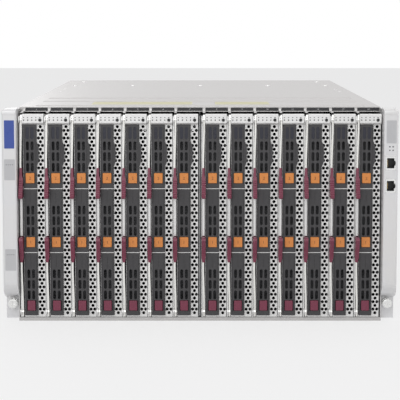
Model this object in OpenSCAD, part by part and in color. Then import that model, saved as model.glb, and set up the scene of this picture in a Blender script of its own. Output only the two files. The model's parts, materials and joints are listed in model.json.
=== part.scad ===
// Blade server chassis: a 6U enclosure for a 19-inch rack, with 14 upright blades.
// Millimetres. X is right as seen from the front, Y goes back and Z is up.
// Everything is drawn with y = 0 on the front of the rack flanges, x = 0 in the middle
// and z = 0 under the floor. At the end it is moved along Y, so that the origin lies
// under the middle of the whole object.

/* [Rack] */
// Width of a rack ear beside the side wall
ear_w = 16.8; // [15:0.1:18]
// Distance of a rack screw from the ear's outer edge
screw_inset = 8.75; // [8:0.05:9.5]
// Height of the rack screws
screw_z = 21.4; // [18:0.1:23]
// Radius of a rack screw's shank
screw_r = 3; // [2:0.1:3.4]
// Length of the shank behind the flange
screw_len = 12; // [8:0.5:20]
// Radius of the neck that holds a captive screw in its flange
neck_r = 2.4; // [1.6:0.1:2.6]
// Radius of a thumbscrew's head
head_r = 6.2; // [4.5:0.1:6.4]
// How far a thumbscrew's head stands in front of the flange
head_reach = 13; // [9:0.5:16]
// Thickness of a rack flange
flange_t = 2; // [1.5:0.1:3]
// Length of the ear bracket along the side wall
bracket_len = 70; // [40:1:120]
// Radius of the sunk screws in the ear bracket
bracket_screw_r = 4; // [3:0.1:5]

/* [Enclosure] */
// Width over the side walls
body_w = 449; // [442:0.5:450]
// Depth behind the rack flanges
body_d = 830; // [780:1:900]
// Height to the top of the covers, without their beads
body_h = 264; // [258:0.5:265.5]
// Thickness of the enclosure's sheet
sheet_t = 1; // [0.8:0.1:1.5]
// Thickness of the floor
floor_t = 1.2; // [1:0.1:2]
// Thickness of the top covers
cover_t = 1.2; // [0.8:0.1:2]
// How far the enclosure stands in front of the rack flanges
brow = 12; // [8:0.5:15]
// Distance of the header bar over the blades behind the rack flanges
header_y = 20; // [14:1:30]
// Height of the header bar
header_h = 6; // [4:0.5:8]
// Depth of the header bar
header_d = 32; // [20:1:60]
// Height of the sill under the blades
sill_h = 4.4; // [3:0.1:4.6]
// Width of a guide rib
rib_w = 6; // [4:0.5:10]
// Width of the flanges that carry the top covers
lip_w = 12; // [8:0.5:20]
// Width of a catch finger
finger_w = 3; // [2:0.1:4]
// Thickness of a catch finger
finger_t = 1.2; // [0.8:0.1:1.5]
// How far a catch finger reaches in front of the rack flanges
finger_reach = 8; // [4:0.5:10]
// Radius of a sunk screw in a side wall
wall_screw_r = 3.4; // [2.5:0.1:4.5]

/* [Top covers] */
// Distances of the pressed beads behind the rack flanges
bead_y = [46, 142, 223];
// Height of a bead
bead_h = 1; // [0.6:0.1:1.5]
// Radius of a bead's section
bead_r = 5; // [4:0.5:8]
// Distance of a bead's end from the side
bead_inset = 20; // [15:1:60]
// Distance of the seam between the covers behind the rack flanges
seam_y = 606; // [560:1:640]
// Place of the rear cover's middle pair of screws, as a share of the outer pair's
cover_screw_share = 0.54; // [0.3:0.01:0.7]
// Distance of the rear cover's last screws from its back
back_screw_inset = 71; // [40:1:100]
// Radius of a cover screw's head
cover_screw_r = 3.4; // [2.5:0.1:4.5]
// Radius of a rivet's head
rivet_r = 2.2; // [1.5:0.1:3]
// Distances of the rivets behind the rack flanges
rivet_y = [410, 490];

/* [Ears] */
// How far an ear cover stands in front of the flange
ear_reach = 32; // [26:0.5:38]
// Height of an ear cover's lower end
ear_z0 = 28.4; // [28:0.2:34]
// Height at which an ear cover's front starts to curve back
ear_curve_z = 52; // [46:1:70]
// How far an ear cover overlaps the side wall
ear_lap = 1.2; // [0.6:0.1:2]
// Radius of an ear cover's outer top corner
ear_r = 4; // [2:0.5:6]
// Radius of an ear cover's front edges
ear_edge_r = 2.5; // [1:0.5:4]
// Distance of the seam below an ear cover's top
ear_seam = 7; // [5:0.5:12]
// Width of a network jack's shell
jack_w = 12.4; // [12:0.1:13]
// Height of a network jack's shell
jack_h = 17; // [16:0.5:18]
// Depth of a network jack's shell
jack_d = 18; // [15:0.5:20]
// Width of the socket in a network jack
socket_w = 8.8; // [8.4:0.1:9.2]
// Height of the socket in a network jack
socket_h = 12.4; // [11.8:0.1:13]
// Distance of the network jacks from the side wall
jack_inset = 7.7; // [7.5:0.1:8]
// Heights of the two network jacks
jack_z = [170.5, 198.3];

/* [Blades] */
// Number of blades on each side of the centre post
half_count = 7; // [7:1:7]
// Gap between two blades
blade_gap = 0.6; // [0.4:0.1:1]
// Width of the centre post
post_w = 3.6; // [3:0.1:4]
// Gap between the outer blades and the side walls
side_gap = 1.2; // [0.8:0.1:1.6]
// Depth of a blade behind the rack flanges
blade_d = 590; // [560:1:592]
// Height of a blade's underside
blade_z0 = 5; // [4.8:0.1:6]
// Gap between the blades and the header bar
header_gap = 0.7; // [0.5:0.1:1]
// Thickness of a blade's housing
shell_t = 1; // [0.8:0.1:1.2]
// Thickness of a blade's front plate
face_t = 1.2; // [1:0.1:1.6]
// How much the housing is narrower than the front plate on each side
shell_inset = 0.4; // [0.3:0.1:0.6]
// Width of a blade's left flange
flange_w = 1.8; // [1.4:0.1:2]
// Depth of the lever channel behind the front plate
channel_d = 8; // [7:0.5:12]
// Depth of the drive bay behind the rack flanges
bay_d = 118; // [114:1:130]
// Thickness of a blade's board with its parts
board_t = 3.6; // [3:0.1:5]
// Height of a cooler on the board
cooler_h = 76; // [60:1:90]
// How far a cooler stands up from the board
cooler_w = 20; // [15:0.5:22]
// Distance between two fins of a cooler
fin_pitch = 16; // [8:0.5:20]
// Height of the cap
cap_h = 12.1; // [11:0.1:14]
// Radius of the power button
power_r = 1.6; // [1.2:0.1:2]
// Radius of a status light
light_r = 0.8; // [0.6:0.1:1]
// How far the cap stands in front of the front plate
cap_reach = 8; // [6:0.5:10]
// How far the cap stands above the housing
cap_rise = 2.6; // [2:0.1:3]
// How far the cap's lip hangs over the drive bay
cap_lip = 0.8; // [0.4:0.1:2]
// Radius of a grille hole
hole_r = 1.95; // [1.5:0.05:2]
// Upright distance between two holes of one column
hole_pitch = 9.26; // [9.2:0.02:12]
// Least web between a grille hole and the grille's edge
hole_edge = 0.2; // [0.1:0.05:0.4]

/* [Drive carriers] */
// Width of a drive carrier
carrier_w = 16; // [15.8:0.1:16.2]
// How far a carrier's bezel stands in front of the front plate
bezel_reach = 4; // [3:0.5:4.5]
// Thickness of a bezel's front wall
bezel_t = 2.4; // [1.6:0.1:3]
// Depth of a bezel
bezel_d = 10; // [8:0.5:11]
// Gap round a carrier in its bay
slide_gap = 0.3; // [0.2:0.05:0.4]
// Thickness of a shelf between two carriers
shelf_t = 0.8; // [0.6:0.1:1.2]
// Size of a drive in X, Y and Z
drive = [15, 100.5, 69.85];
// Width of a vent
vent_w = 3.6; // [3:0.1:4]
// Height of a vent
vent_h = 11; // [8:0.5:12]
// Upright distance between two vents
vent_pitch = 13.2; // [13:0.1:15]
// Distance between the two columns of vents
vent_spread = 5.7; // [5:0.1:7]
// Height of the lowest vent above the carrier's underside
vent_z = 20.2; // [19.6:0.1:22]
// Width of a release button
release_w = 10.6; // [9:0.1:11.5]
// Height of a release button
release_h = 12.4; // [10:0.1:12.6]
// Height of a release button above the carrier's underside
release_z = 6.2; // [5:0.1:6.4]
// How far a release button stands in front of the bezel
release_reach = 1.2; // [0.6:0.1:2.2]
// Gap round a button
button_gap = 0.4; // [0.3:0.05:0.5]

/* [Levers] */
// Distance of the hinges from a blade's upper and lower end
hinge_inset = 7.2; // [7:0.1:8]
// Distance of the hinges in front of the front plate
hinge_reach = 3.6; // [3.4:0.1:4]
// Radius of a hinge pin
pin_r = 1.3; // [1:0.1:1.5]
// Gap between a hinge pin and its lever
pin_gap = 0.3; // [0.2:0.05:0.4]
// Radius of the cheek that holds a hinge pin
cheek_r = 4; // [3.4:0.1:4.2]
// Radius of a lever's hub
hub_r = 3; // [2.6:0.1:3.1]
// Width of a lever's hub and arm
arm_w = 2; // [1.6:0.1:2.1]
// Thickness of a lever's arm from front to back
arm_t = 5.4; // [4:0.1:5.8]
// Reach of the cam beyond the hinge
cam_reach = 6.2; // [5:0.1:6.4]
// Length of an upper lever and a lower lever from hinge to end
lever_len = [96, 94];
// Length of the wide grip on an upper lever and a lower lever
grip_len = [24, 26];
// Length of the narrow neck of the grip on an upper lever and a lower lever
neck_len = [13, 6];
// Width of a grip
grip_w = 4.9; // [4.4:0.1:5]
// How far a grip stands in front of its hinge
grip_reach = 14.4; // [10:0.2:16]
// How far the strip between two grips stands in front of the front plate
latch_reach = 6.2; // [4:0.1:8]
// Distance between two grooves of a grip
groove_pitch = 2.6; // [2.2:0.1:3.5]

/* [Rear modules] */
// Distance of the midplane behind the rack flanges
midplane_y = 600; // [598:1:610]
// Thickness of the midplane
midplane_t = 3.2; // [2:0.1:4]
// Height of a blade's connector
connector_h = 40; // [30:1:48]
// Number of rows of rear modules
rows = 4; // [4:1:4]
// Number of network ports on the middle module of each row, from the lowest up
ports = [0, 1, 4, 4];
// Number of vents across a middle module
vents = 17; // [9:2:21]
// Width of the web between two vents
vent_web = 3; // [2:0.1:4]
// Width of a power supply
psu_w = 106; // [100:0.5:108]
// Thickness of a rear module's sheet
module_t = 1.2; // [1:0.1:2]
// Gap round a rear module
module_gap = 0.3; // [0.2:0.05:0.5]
// Thickness of the dividers and shelves between the rear modules
shelf_rear_t = 1.2; // [1:0.1:2]
// Radius of a power supply's fan opening
fan_r = 25; // [20:0.5:26]
// Depth of a fan's frame
fan_d = 20; // [15:0.5:30]
// Width of the slots in a finger guard
guard_slot = 4.2; // [3:0.1:5]
// Width of a power inlet's socket
inlet_w = 27; // [26:0.5:28]
// Height of a power inlet's socket
inlet_h = 20; // [19:0.5:21]
// Depth of a power inlet's socket
inlet_d = 17; // [15:0.5:20]
// Wall round a power inlet's socket
inlet_wall = 3; // [2:0.1:4]
// Thickness of a pull tab's sheet
tab_t = 1.5; // [1:0.1:2]
// Height of a pull tab's bent ends
tab_bend = 8; // [5:0.5:10]
// Reach of the pull tabs behind the enclosure
tab_reach = 22; // [15:0.5:26]

/* [Hidden] */
$fn = 48;
service_blade = 1;   // the blade whose carriers and buttons are nodes of their own
overlap = 0.01;      // how far a cutter runs past the face that it starts from
joint_gap = 0.1;     // between two pieces that are fastened face to face

half_w = body_w / 2;
rack_w = body_w + 2 * ear_w;
screw_spacing = rack_w - 2 * screw_inset;
front_y = -brow;
cover_z = body_h - cover_t;
header_z = body_h - header_h;
wall_x = half_w - sheet_t;
post_gap = 0.3;
jack_x = half_w + jack_inset;

blade_count = 2 * half_count;
pitch = (2 * (wall_x - side_gap) - post_w) / blade_count;
blade_w = pitch - blade_gap;
blade_top = header_z - header_gap;
blade_h = blade_top - blade_z0;
housing_top = blade_top - cap_rise;
cap_z = blade_top - cap_h;
face_y = front_y + face_t;

shell_x = [shell_inset, blade_w - shell_inset];
channel_x = [flange_w, flange_w + 3.1];
carrier_x0 = channel_x[1] + 0.4 + slide_gap;
drive_bay_x = [carrier_x0 - slide_gap, carrier_x0 + carrier_w + slide_gap];
grille_x = drive_bay_x[1];
bay_wall = 0.6;
bay_z = [blade_z0 + 2.2, cap_z - cap_lip - joint_gap];
carrier_pitch = (bay_z[1] - bay_z[0] + shelf_t) / 3;
carrier_h = carrier_pitch - shelf_t - 2 * slide_gap;
bezel_y = front_y - bezel_reach;
hole_x = (grille_x + blade_w) / 2;
hole_spread = (blade_w - grille_x) / 2 - hole_r - hole_edge;
hole_rows = floor((bay_z[1] - bay_z[0] - 2 * hole_r) / hole_pitch);
hole_z0 = (bay_z[0] + bay_z[1] - hole_rows * hole_pitch) / 2;

hinge_y = front_y - hinge_reach;
hinge_z = [blade_top - hinge_inset, blade_z0 + hinge_inset];
hub_x = flange_w + 0.4;
arm_x = 1.2;
grip_x = 0.2;
back_y = hinge_reach - 0.6;   // the back of an arm, measured from the hinge

rear_y = midplane_y + midplane_t;
module_y = rear_y + 9;
connector_z = [0.22, 0.6];   // heights of the blades' connectors, as shares of the enclosure's
module_z0 = floor_t;
rear_frame_y = [rear_y, body_d - 2];
row_pitch = (cover_z - sheet_t - module_z0) / rows;
module_h = row_pitch - shelf_rear_t - 2 * module_gap;
divider_x = wall_x - psu_w - 2 * module_gap;
io_w = 2 * (divider_x - shelf_rear_t - module_gap);
fan_x = fan_r + 5 - psu_w / 2;
inlet_x = psu_w / 2 - 23;
inlet_z = module_h * 0.75 - 1.5;
port_z = module_h * 0.46;
vent_step = io_w / (vents + 3);

middle_y = (body_d + tab_reach - ear_reach) / 2;

function digits(n) = n < 10 ? str("0", n) : str(n);
function blade_name(n) = str("blade_", digits(n));
function slot_x(n) = -wall_x + side_gap + (n - 1) * pitch + (n > half_count ? post_w : 0);
function port_x(i) = [for (k = [0:1:ports[i] - 1]) io_w * (0.12 * k - 0.3)];
function carrier_z(i) = bay_z[0] + i * carrier_pitch + slide_gap;
function arc(c, r, a0, a1, n = 8) =
    [for (i = [0:n]) let (a = a0 + (a1 - a0) * i / n) c + r * [cos(a), sin(a)]];
function bezier(p, q, r, n = 12) =
    [for (i = [0:n]) let (t = i / n) (1 - t) * (1 - t) * p + 2 * t * (1 - t) * q + t * t * r];

LEVER_ENDS = ["upper", "lower"];
CARRIERS = ["lower", "middle", "upper"];

// ---------- Colours ----------
STEEL = [0.69, 0.68, 0.68];
SILVER = [0.85, 0.85, 0.84];
DARK = [0.2, 0.2, 0.21];
CARRIER = [0.23, 0.23, 0.24];
ORANGE = [0.94, 0.6, 0.27];
MAROON = [0.5, 0.2, 0.29];
BOARD = [0.1, 0.3, 0.16];

// ---------- Shapes ----------
// A block between two values of x, y and z
module block(x, y, z) {
    translate([x[0], y[0], z[0]]) cube([x[1] - x[0], y[1] - y[0], z[1] - z[0]]);
}

// A rod along X between two values of x
module rod_x(x, r) {
    translate([x[0], 0, 0]) rotate([0, 90, 0]) cylinder(h = x[1] - x[0], r = r);
}

// A rod along Y between two values of y
module rod_y(y, r) {
    translate([0, y[1], 0]) rotate([90, 0, 0]) cylinder(h = y[1] - y[0], r = r);
}

// Extrudes an outline of [y, z] points along X
module along_x(x) {
    translate([x[0], 0, 0]) rotate([90, 0, 90]) linear_extrude(x[1] - x[0]) children();
}

// Extrudes an outline of [x, z] points along Y
module along_y(y) {
    translate([0, y[1], 0]) rotate([90, 0, 0]) linear_extrude(y[1] - y[0]) children();
}

// Extrudes an outline of [x, y] points along Z
module along_z(z) {
    translate([0, 0, z[0]]) linear_extrude(z[1] - z[0]) children();
}

// A rectangle with round corners, centred
module round_rectangle(w, h, r) {
    square([w - 2 * r, h], center = true);
    square([w, h - 2 * r], center = true);
    for (sx = [-1, 1], sz = [-1, 1])
        translate([sx * (w / 2 - r), sz * (h / 2 - r)]) circle(r);
}

// An upright slot with round ends, through a wall between two values of y
module slot_y(y, w, h) {
    along_y(y) {
        square([w, h - w], center = true);
        for (s = [-1, 1]) translate([0, s * (h - w) / 2]) circle(w / 2);
    }
}

// ---------- Enclosure ----------
// Riveted from a floor pan, two side walls, two rails, a header bar and the frame for the rear
module enclosure() {
    color(STEEL) {
        floor_pan();
        for (s = [-1, 1]) scale_side(s) {
            side_wall();
            cover_rail();
            for (i = [1:rows - 1]) side_shelf(i);
        }
        header();
        rear_frame();
    }
}

// Draws its children on the right for 1, and mirrored on the left for -1
module scale_side(s) {
    if (s > 0) children();
    else mirror([1, 0, 0]) children();
}

module floor_pan() {
    block([-half_w, half_w], [front_y, body_d], [0, floor_t]);
    block([-half_w, half_w], [front_y, front_y + sheet_t], [0, sill_h]);
    for (n = [1:blade_count]) guide_rib(n);
}

module side_wall() {
    difference() {
        block([wall_x, half_w], [front_y, body_d], [floor_t + joint_gap, cover_z]);
        block([wall_x - 1, half_w + 1], [front_y - 1, front_y + sheet_t + joint_gap],
              [0, sill_h + joint_gap]);
        wall_screws();
    }
}

// Sunk screws that hold the midplane's frame and the rear shelves
module wall_screws() {
    for (i = [1:rows - 1], y = [rear_y + 8, body_d - 14])
        translate([half_w - sheet_t * 0.4, y, module_z0 + i * row_pitch - shelf_rear_t / 2])
            rod_x([0, sheet_t], wall_screw_r);
}

// Rail on a side wall that carries the top covers
module cover_rail() {
    block([half_w - lip_w, wall_x - joint_gap],
          [header_y + header_d + joint_gap, body_d], [cover_z - sheet_t, cover_z]);
}

// Bar over the blades, with a tab and a catch finger for each upper lever
module header() {
    x = wall_x - joint_gap;
    block([-x, x], [header_y, header_y + header_d], [header_z, cover_z]);
    block([-half_w, half_w], [header_y, header_y + cover_t], [cover_z + joint_gap, body_h]);
    block([-x, x], [header_y, header_y + cover_t], [header_z, body_h]);
    for (n = [1:blade_count]) translate([slot_x(n) + hub_x + arm_w / 2, 0, 0]) {
        block([-finger_w / 2, finger_w / 2], [header_y - finger_t, header_y + overlap],
              [header_z, body_h - 2 * finger_t]);
        block([-finger_w / 2, finger_w / 2], [-finger_reach, header_y],
              [header_z, header_z + finger_t]);
    }
}

module guide_rib(n) {
    x = slot_x(n) + blade_w / 2;
    y = [front_y + rib_w * 2, midplane_y - rib_w * 3];
    difference() {
        block([x - rib_w / 2, x + rib_w / 2], y, [floor_t - overlap, blade_z0 - slide_gap]);
        for (end = y) translate([x, end, blade_z0])
            rotate([0, 45, 90]) cube([rib_w / 2, rib_w + 2, rib_w / 2], center = true);
    }
}

// The dividers behind the midplane, and the shelves between them
module rear_frame() {
    for (s = [-1, 1]) scale_side(s)
        block([divider_x - shelf_rear_t, divider_x], rear_frame_y,
              [floor_t + joint_gap, cover_z - sheet_t - joint_gap]);
    for (i = [1:rows - 1])
        block([-divider_x + overlap, divider_x - overlap], rear_frame_y, row_shelf(i));
}

// Shelf between two power supplies, from a divider to the side wall
module side_shelf(i) {
    block([divider_x + joint_gap, wall_x - joint_gap], rear_frame_y, row_shelf(i));
}

function row_shelf(i) = [module_z0 + i * row_pitch - shelf_rear_t, module_z0 + i * row_pitch];
function row_z(i) = module_z0 + i * row_pitch + module_gap;

module centre_post() {
    x = slot_x(half_count + 1) - blade_gap / 2 - post_w / 2;
    w = post_w - 2 * post_gap;
    color(DARK) translate([x, 0, 0]) {
        difference() {
            block([-w / 2, w / 2], [front_y - 1, front_y + 10], [floor_t + sill_h, housing_top]);
            block([-0.3, 0.3], [front_y - 1 - overlap, front_y - 0.5],
                  [floor_t + sill_h - 1, housing_top + 1]);
        }
        block([-0.6, 0.6], [front_y + 10 - overlap, midplane_y - 4],
              [floor_t, header_z - joint_gap]);
    }
}

// ---------- Top covers ----------
module front_cover() {
    y = [header_y + cover_t + joint_gap, seam_y];
    color(STEEL) {
        block([-half_w, half_w], y, [cover_z, body_h]);
        for (b = bead_y) translate([0, b, 0]) bead();
        for (s = [-1, 1], y = rivet_y)
            translate([s * (half_w - lip_w * 1.5), y, body_h]) rivet();
    }
}

module bead() {
    reach = half_w - bead_inset;
    translate([0, 0, body_h + bead_h - bead_r]) intersection() {
        union() {
            rod_x([-reach, reach], bead_r);
            for (s = [-1, 1]) translate([s * reach, 0, 0]) sphere(bead_r);
        }
        block([-half_w, half_w], [-bead_r, bead_r], [bead_r - bead_h - cover_t / 2, bead_r]);
    }
}

module rivet() {
    translate([0, 0, -overlap]) cylinder(h = 0.5, r = rivet_r);
}

module rear_cover() {
    y = [seam_y + 0.6, body_d];
    color(STEEL) {
        block([-half_w, half_w], y, [cover_z, body_h]);
        for (k = [-1, -cover_screw_share, 0, cover_screw_share, 1])
            translate([k * (half_w - 2 * lip_w), y[0] + 2 * cover_screw_r, body_h]) cover_screw();
        for (s = [-1, 1])
            translate([s * (half_w - 2.3 * lip_w), body_d - back_screw_inset, body_h])
                cover_screw();
    }
}

module cover_screw() {
    difference() {
        translate([0, 0, -overlap]) cylinder(h = 1 + overlap, r = cover_screw_r);
        for (a = [0, 90]) rotate(a) translate([0, 0, 1])
            cube([cover_screw_r, cover_screw_r / 5, 1], center = true);
    }
}

// ---------- Ears ----------
module ear_bracket() {
    color(STEEL) difference() {
        union() {
            block([half_w + joint_gap, rack_w / 2], [0, flange_t], [1.7, body_h]);
            block([half_w + joint_gap, half_w + joint_gap + flange_t], [0, bracket_len],
                  [12, body_h - 14]);
        }
        translate([screw_spacing / 2, 0, screw_z]) rod_y([-1, flange_t + 1], neck_r + pin_gap);
        for (y = [0.45, 0.8], z = [0.2, 0.5, 0.8])
            translate([half_w + joint_gap + flange_t, bracket_len * y, body_h * z])
                rotate([0, -90, 0]) translate([0, 0, -overlap]) cylinder(h = 1, r = bracket_screw_r);
    }
}

// The cover's side outline, its front outline and its plan, crossed
module ear_cover() {
    x = [half_w - ear_lap, rack_w / 2];
    y = [-ear_reach, -joint_gap];
    intersection() {
        along_x(x) polygon(concat(
            [[y[1], body_h], [y[1], ear_z0]],
            bezier([y[1], ear_z0], [y[0], ear_z0 + 5], [y[0], ear_curve_z]),
            arc([y[0] + ear_r, body_h - ear_r], ear_r, 180, 90)
        ));
        along_y(y) polygon(concat(
            [[x[0], body_h], [x[0], ear_z0 - 1], [x[1], ear_z0 - 1]],
            arc([x[1] - ear_r, body_h - ear_r], ear_r, 0, 90)
        ));
        translate([0, 0, ear_z0 - 1]) linear_extrude(body_h) polygon(concat(
            [[x[1], y[1]], [x[0], y[1]]],
            arc([x[0] + ear_edge_r, y[0] + ear_edge_r], ear_edge_r, 180, 270),
            arc([x[1] - ear_edge_r, y[0] + ear_edge_r], ear_edge_r, 270, 360)
        ));
    }
}

// Clears the header bar and the covers behind the ear cover, and cuts its seam
module ear_cuts() {
    block([0, half_w + joint_gap], [front_y - joint_gap, 1], [-1, body_h + 1]);
    z = body_h - ear_seam;
    difference() {
        block([half_w - ear_lap - 1, rack_w / 2 + 1], [-ear_reach - 1, 1], [z, z + 0.5]);
        block([half_w - ear_lap - 2, rack_w / 2 - 0.6], [-ear_reach + 0.6, 2], [z - 1, z + 1]);
    }
}

module left_ear() {
    scale_side(-1) {
        ear_bracket();
        color(SILVER) difference() {
            ear_cover();
            ear_cuts();
        }
    }
}

module right_ear() {
    ear_bracket();
    color(SILVER) difference() {
        ear_cover();
        ear_cuts();
        for (z = jack_z) translate([jack_x, -ear_reach, z])
            along_y([-1, jack_d + joint_gap])
                square([jack_w + 2 * joint_gap, jack_h + 2 * joint_gap], center = true);
    }
    color(STEEL) for (z = jack_z) translate([jack_x, -ear_reach, z])
        network_jack();
}

// An upright network jack, with the notch for the plug's clip on its outer side
module network_jack() {
    difference() {
        along_y([0, jack_d]) round_rectangle(jack_w, jack_h, 0.8);
        along_y([-1, jack_d - 3]) square([socket_w, socket_h], center = true);
        along_y([-1, jack_d - 6]) translate([socket_w / 2, 0]) square([2.4, 6], center = true);
        along_y([-1, jack_d - 8]) translate([socket_w / 2 + 1, 0]) square([1.4, 3.2], center = true);
    }
}

// A thumbscrew, drawn round its own axis with y = 0 on the flange's front
module thumbscrew() {
    seat = -0.3;
    color(SILVER) difference() {
        union() {
            rod_y([seat - 3, seat], head_r);
            rod_y([seat - 4, seat - 3 + overlap], head_r * 0.8);
            rod_y([seat - head_reach + 2, seat - 4 + overlap], head_r * 0.94);
            rod_y([seat - head_reach, seat - head_reach + 2 + overlap], head_r * 0.75);
            rod_y([seat - overlap, flange_t + 0.3 + overlap], neck_r);
            rod_y([flange_t + 0.3, flange_t + 0.3 + screw_len], screw_r);
        }
        for (a = [0, 90]) rotate([0, a, 0])
            translate([0, seat - head_reach, 0]) cube([head_r, 3, 1.1], center = true);
        for (a = [0:20:359]) rotate([0, a, 0])
            translate([0, 0, head_r * 0.94 + 0.25]) rod_y([seat - head_reach + 2.6, seat - 4.6], 0.6);
    }
}

module left_thumbscrew() {
    translate([-screw_spacing / 2, 0, screw_z]) thumbscrew();
}

module right_thumbscrew() {
    translate([screw_spacing / 2, 0, screw_z]) thumbscrew();
}

// ---------- Midplane ----------
module midplane() {
    reach = wall_x - 1;
    color(BOARD) {
        difference() {
            block([-reach, reach], [midplane_y, rear_y - joint_gap],
                  [floor_t + 0.3, header_z - header_h]);
            for (n = [1:blade_count], z = [0.41, 0.78])
                translate([slot_x(n) + blade_w / 2, 0, body_h * z])
                    along_y([midplane_y - 1, rear_y + 1])
                        square([blade_w * 0.6, body_h * 0.1], center = true);
        }
        for (n = [1:blade_count], z = connector_z)
            translate([slot_x(n) + blade_w / 2, 0, body_h * z])
                block(blade_w * [-0.23, 0.23], [midplane_y - midplane_t, midplane_y + overlap],
                      connector_h * [-0.55, 0.55]);
        for (i = [0:rows - 1], s = [-1, 0, 1])
            translate([s * (divider_x + psu_w / 2), 0, row_z(i) + module_h * 0.4])
                block(psu_w * [-0.19, 0.19], [rear_y - joint_gap - overlap, module_y - 1],
                      module_h * [-0.08, 0.08]);
    }
}

// ---------- Rear modules ----------
// A sheet box that is open towards the midplane, centred on x = 0 with z = 0 at its underside
module module_case(w) {
    difference() {
        block([-w / 2, w / 2], [module_y, body_d], [0, module_h]);
        block([-w / 2 + module_t, w / 2 - module_t], [module_y - 1, body_d - module_t],
              [module_t, module_h - module_t]);
    }
}

module power_supply() {
    color(STEEL) difference() {
        module_case(psu_w);
        translate([fan_x, 0, module_h / 2]) fan_slots();
        translate([inlet_x, 0, inlet_z]) along_y([body_d - module_t - 1, body_d + 1])
            round_rectangle(inlet_w + 2 * (inlet_wall + joint_gap),
                            inlet_h + 2 * (inlet_wall + joint_gap), 3);
    }
    color(DARK) {
        translate([fan_x, 0, module_h / 2]) fan();
        translate([inlet_x, 0, inlet_z]) power_inlet();
        translate([inlet_x, 0, module_h * 0.22]) pull_tab(inlet_w);
    }
}

// Ring slots of a finger guard, four to a ring
module fan_slots() {
    difference() {
        for (i = [1:4]) difference() {
            rod_y([body_d - module_t - 1, body_d + 1], fan_r * i / 4);
            rod_y([body_d - module_t - 2, body_d + 2], fan_r * i / 4 - guard_slot);
        }
        for (a = [45, 135]) rotate([0, a, 0])
            block([-fan_r - 1, fan_r + 1], [body_d - 5, body_d + 3], [-1, 1]);
    }
}

// Fan behind a finger guard: a square frame, and a rotor that three struts carry
module fan() {
    back = body_d - module_t - joint_gap;
    y = [back - fan_d, back];
    side = 2 * fan_r + 4;
    difference() {
        along_y(y) round_rectangle(side, side, 3);
        rod_y([y[0] - 1, y[1] + 1], fan_r);
    }
    rod_y([y[0], y[1] - 3], fan_r * 0.36);
    for (k = [0:2]) rotate([0, 120 * k, 0])
        block([0, fan_r + 1], [y[0], y[0] + 2], [-1.5, 1.5]);
    for (k = [0:6]) rotate([0, 360 / 7 * k, 0]) translate([0, (y[0] + y[1]) / 2 + 0.5, 0])
        rotate([40, 0, 0]) block([fan_r * 0.3, fan_r * 0.92], [-5, 5], [-0.6, 0.6]);
}

module power_inlet() {
    w = inlet_w + 2 * inlet_wall;
    h = inlet_h + 2 * inlet_wall;
    difference() {
        along_y([body_d - inlet_d - inlet_wall, body_d + 1.5]) round_rectangle(w, h, 3);
        along_y([body_d - inlet_d, body_d + 2]) round_rectangle(inlet_w, inlet_h, 3);
    }
}

// A bent tab on a module's back wall, to pull the module out by
module pull_tab(w) {
    y = [body_d + joint_gap, body_d + tab_reach];
    along_x([-w / 2, w / 2]) polygon([
        [y[0], -tab_bend], [y[0] + tab_t, -tab_bend], [y[0] + tab_t, -tab_t],
        [y[1] - tab_t, -tab_t], [y[1] - tab_t, -tab_bend], [y[1], -tab_bend], [y[1], 0], [y[0], 0]
    ]);
}

module power_supplies() {
    for (s = [-1, 1], i = [0:rows - 1])
        translate([s * (divider_x + module_gap + psu_w / 2), 0, row_z(i)]) power_supply();
}

// From the lowest row up: a blank, a management module and two network switches
module network_modules() {
    for (i = [0:rows - 1]) translate([0, 0, row_z(i)]) {
        color(STEEL) difference() {
            module_case(io_w);
            for (k = [0:vents - 1], z = ports[i] == 0 ? [0.5, 0.78] : [0.78])
                translate([(k - (vents - 1) / 2) * vent_step, 0, module_h * z])
                    along_y([body_d - module_t - 1, body_d + 1])
                        square([vent_step - vent_web, module_h * 0.18], center = true);
            for (x = port_x(i)) translate([x, 0, port_z])
                along_y([body_d - module_t - 1, body_d + 1])
                    square([jack_h + 2 * joint_gap, jack_w + 2 * joint_gap], center = true);
        }
        color(STEEL) for (x = port_x(i))
            translate([x, body_d, port_z]) mirror([0, 1, 0]) rotate([0, 90, 0]) network_jack();
        color(DARK) for (s = [-1, 1])
            translate([s * (io_w / 2 - 16), 0, module_h * 0.3]) pull_tab(18);
        if (ports[i] == 1) color(DARK) translate([io_w * 0.1, 0, port_z]) console_plug();
    }
}

// A D-shaped plug on its flange, between two posts
module console_plug() {
    y = body_d + joint_gap;
    along_y([y, y + 1]) round_rectangle(31, 12.5, 1.5);
    along_y([y, y + 6]) polygon([[-8.5, 4], [8.5, 4], [7, -4], [-7, -4]]);
    for (s = [-1, 1]) translate([s * 12.5, 0, 0]) rod_y([y, y + 5], 2.4);
}

// ---------- Blades ----------
// Places a blade's own frame, x = 0 at its left edge, in slot n
module at_slot(n) {
    translate([slot_x(n), 0, 0]) children();
}

module blade(n) {
    at_slot(n) {
        color(SILVER) housing();
        color(SILVER) cap();
        color(DARK) blade_board();
        if (n != service_blade) {
            for (i = [0:2]) {
                carrier(i);
                release_button(i);
            }
            power_button();
        }
    }
}

// The housing's sheet parts, which are riveted together: a box behind the drives, a left side
// with the lever channel, an airflow duct behind the grille, and the drive cage between them
module housing() {
    tub();
    left_side();
    duct();
    drive_cage();
}

// Box behind the drives, open to the duct and to the midplane
module tub() {
    difference() {
        block(shell_x, [bay_d, blade_d], [blade_z0, housing_top]);
        block([shell_x[0] + shell_t, shell_x[1] - shell_t], [bay_d + shell_t, blade_d + 1],
              [blade_z0 + shell_t, housing_top - shell_t]);
        block([grille_x + bay_wall, shell_x[1] - shell_t], [bay_d - 1, bay_d + shell_t + 1], bay_z);
        side_panel(shell_x[0]);
    }
}

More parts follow.
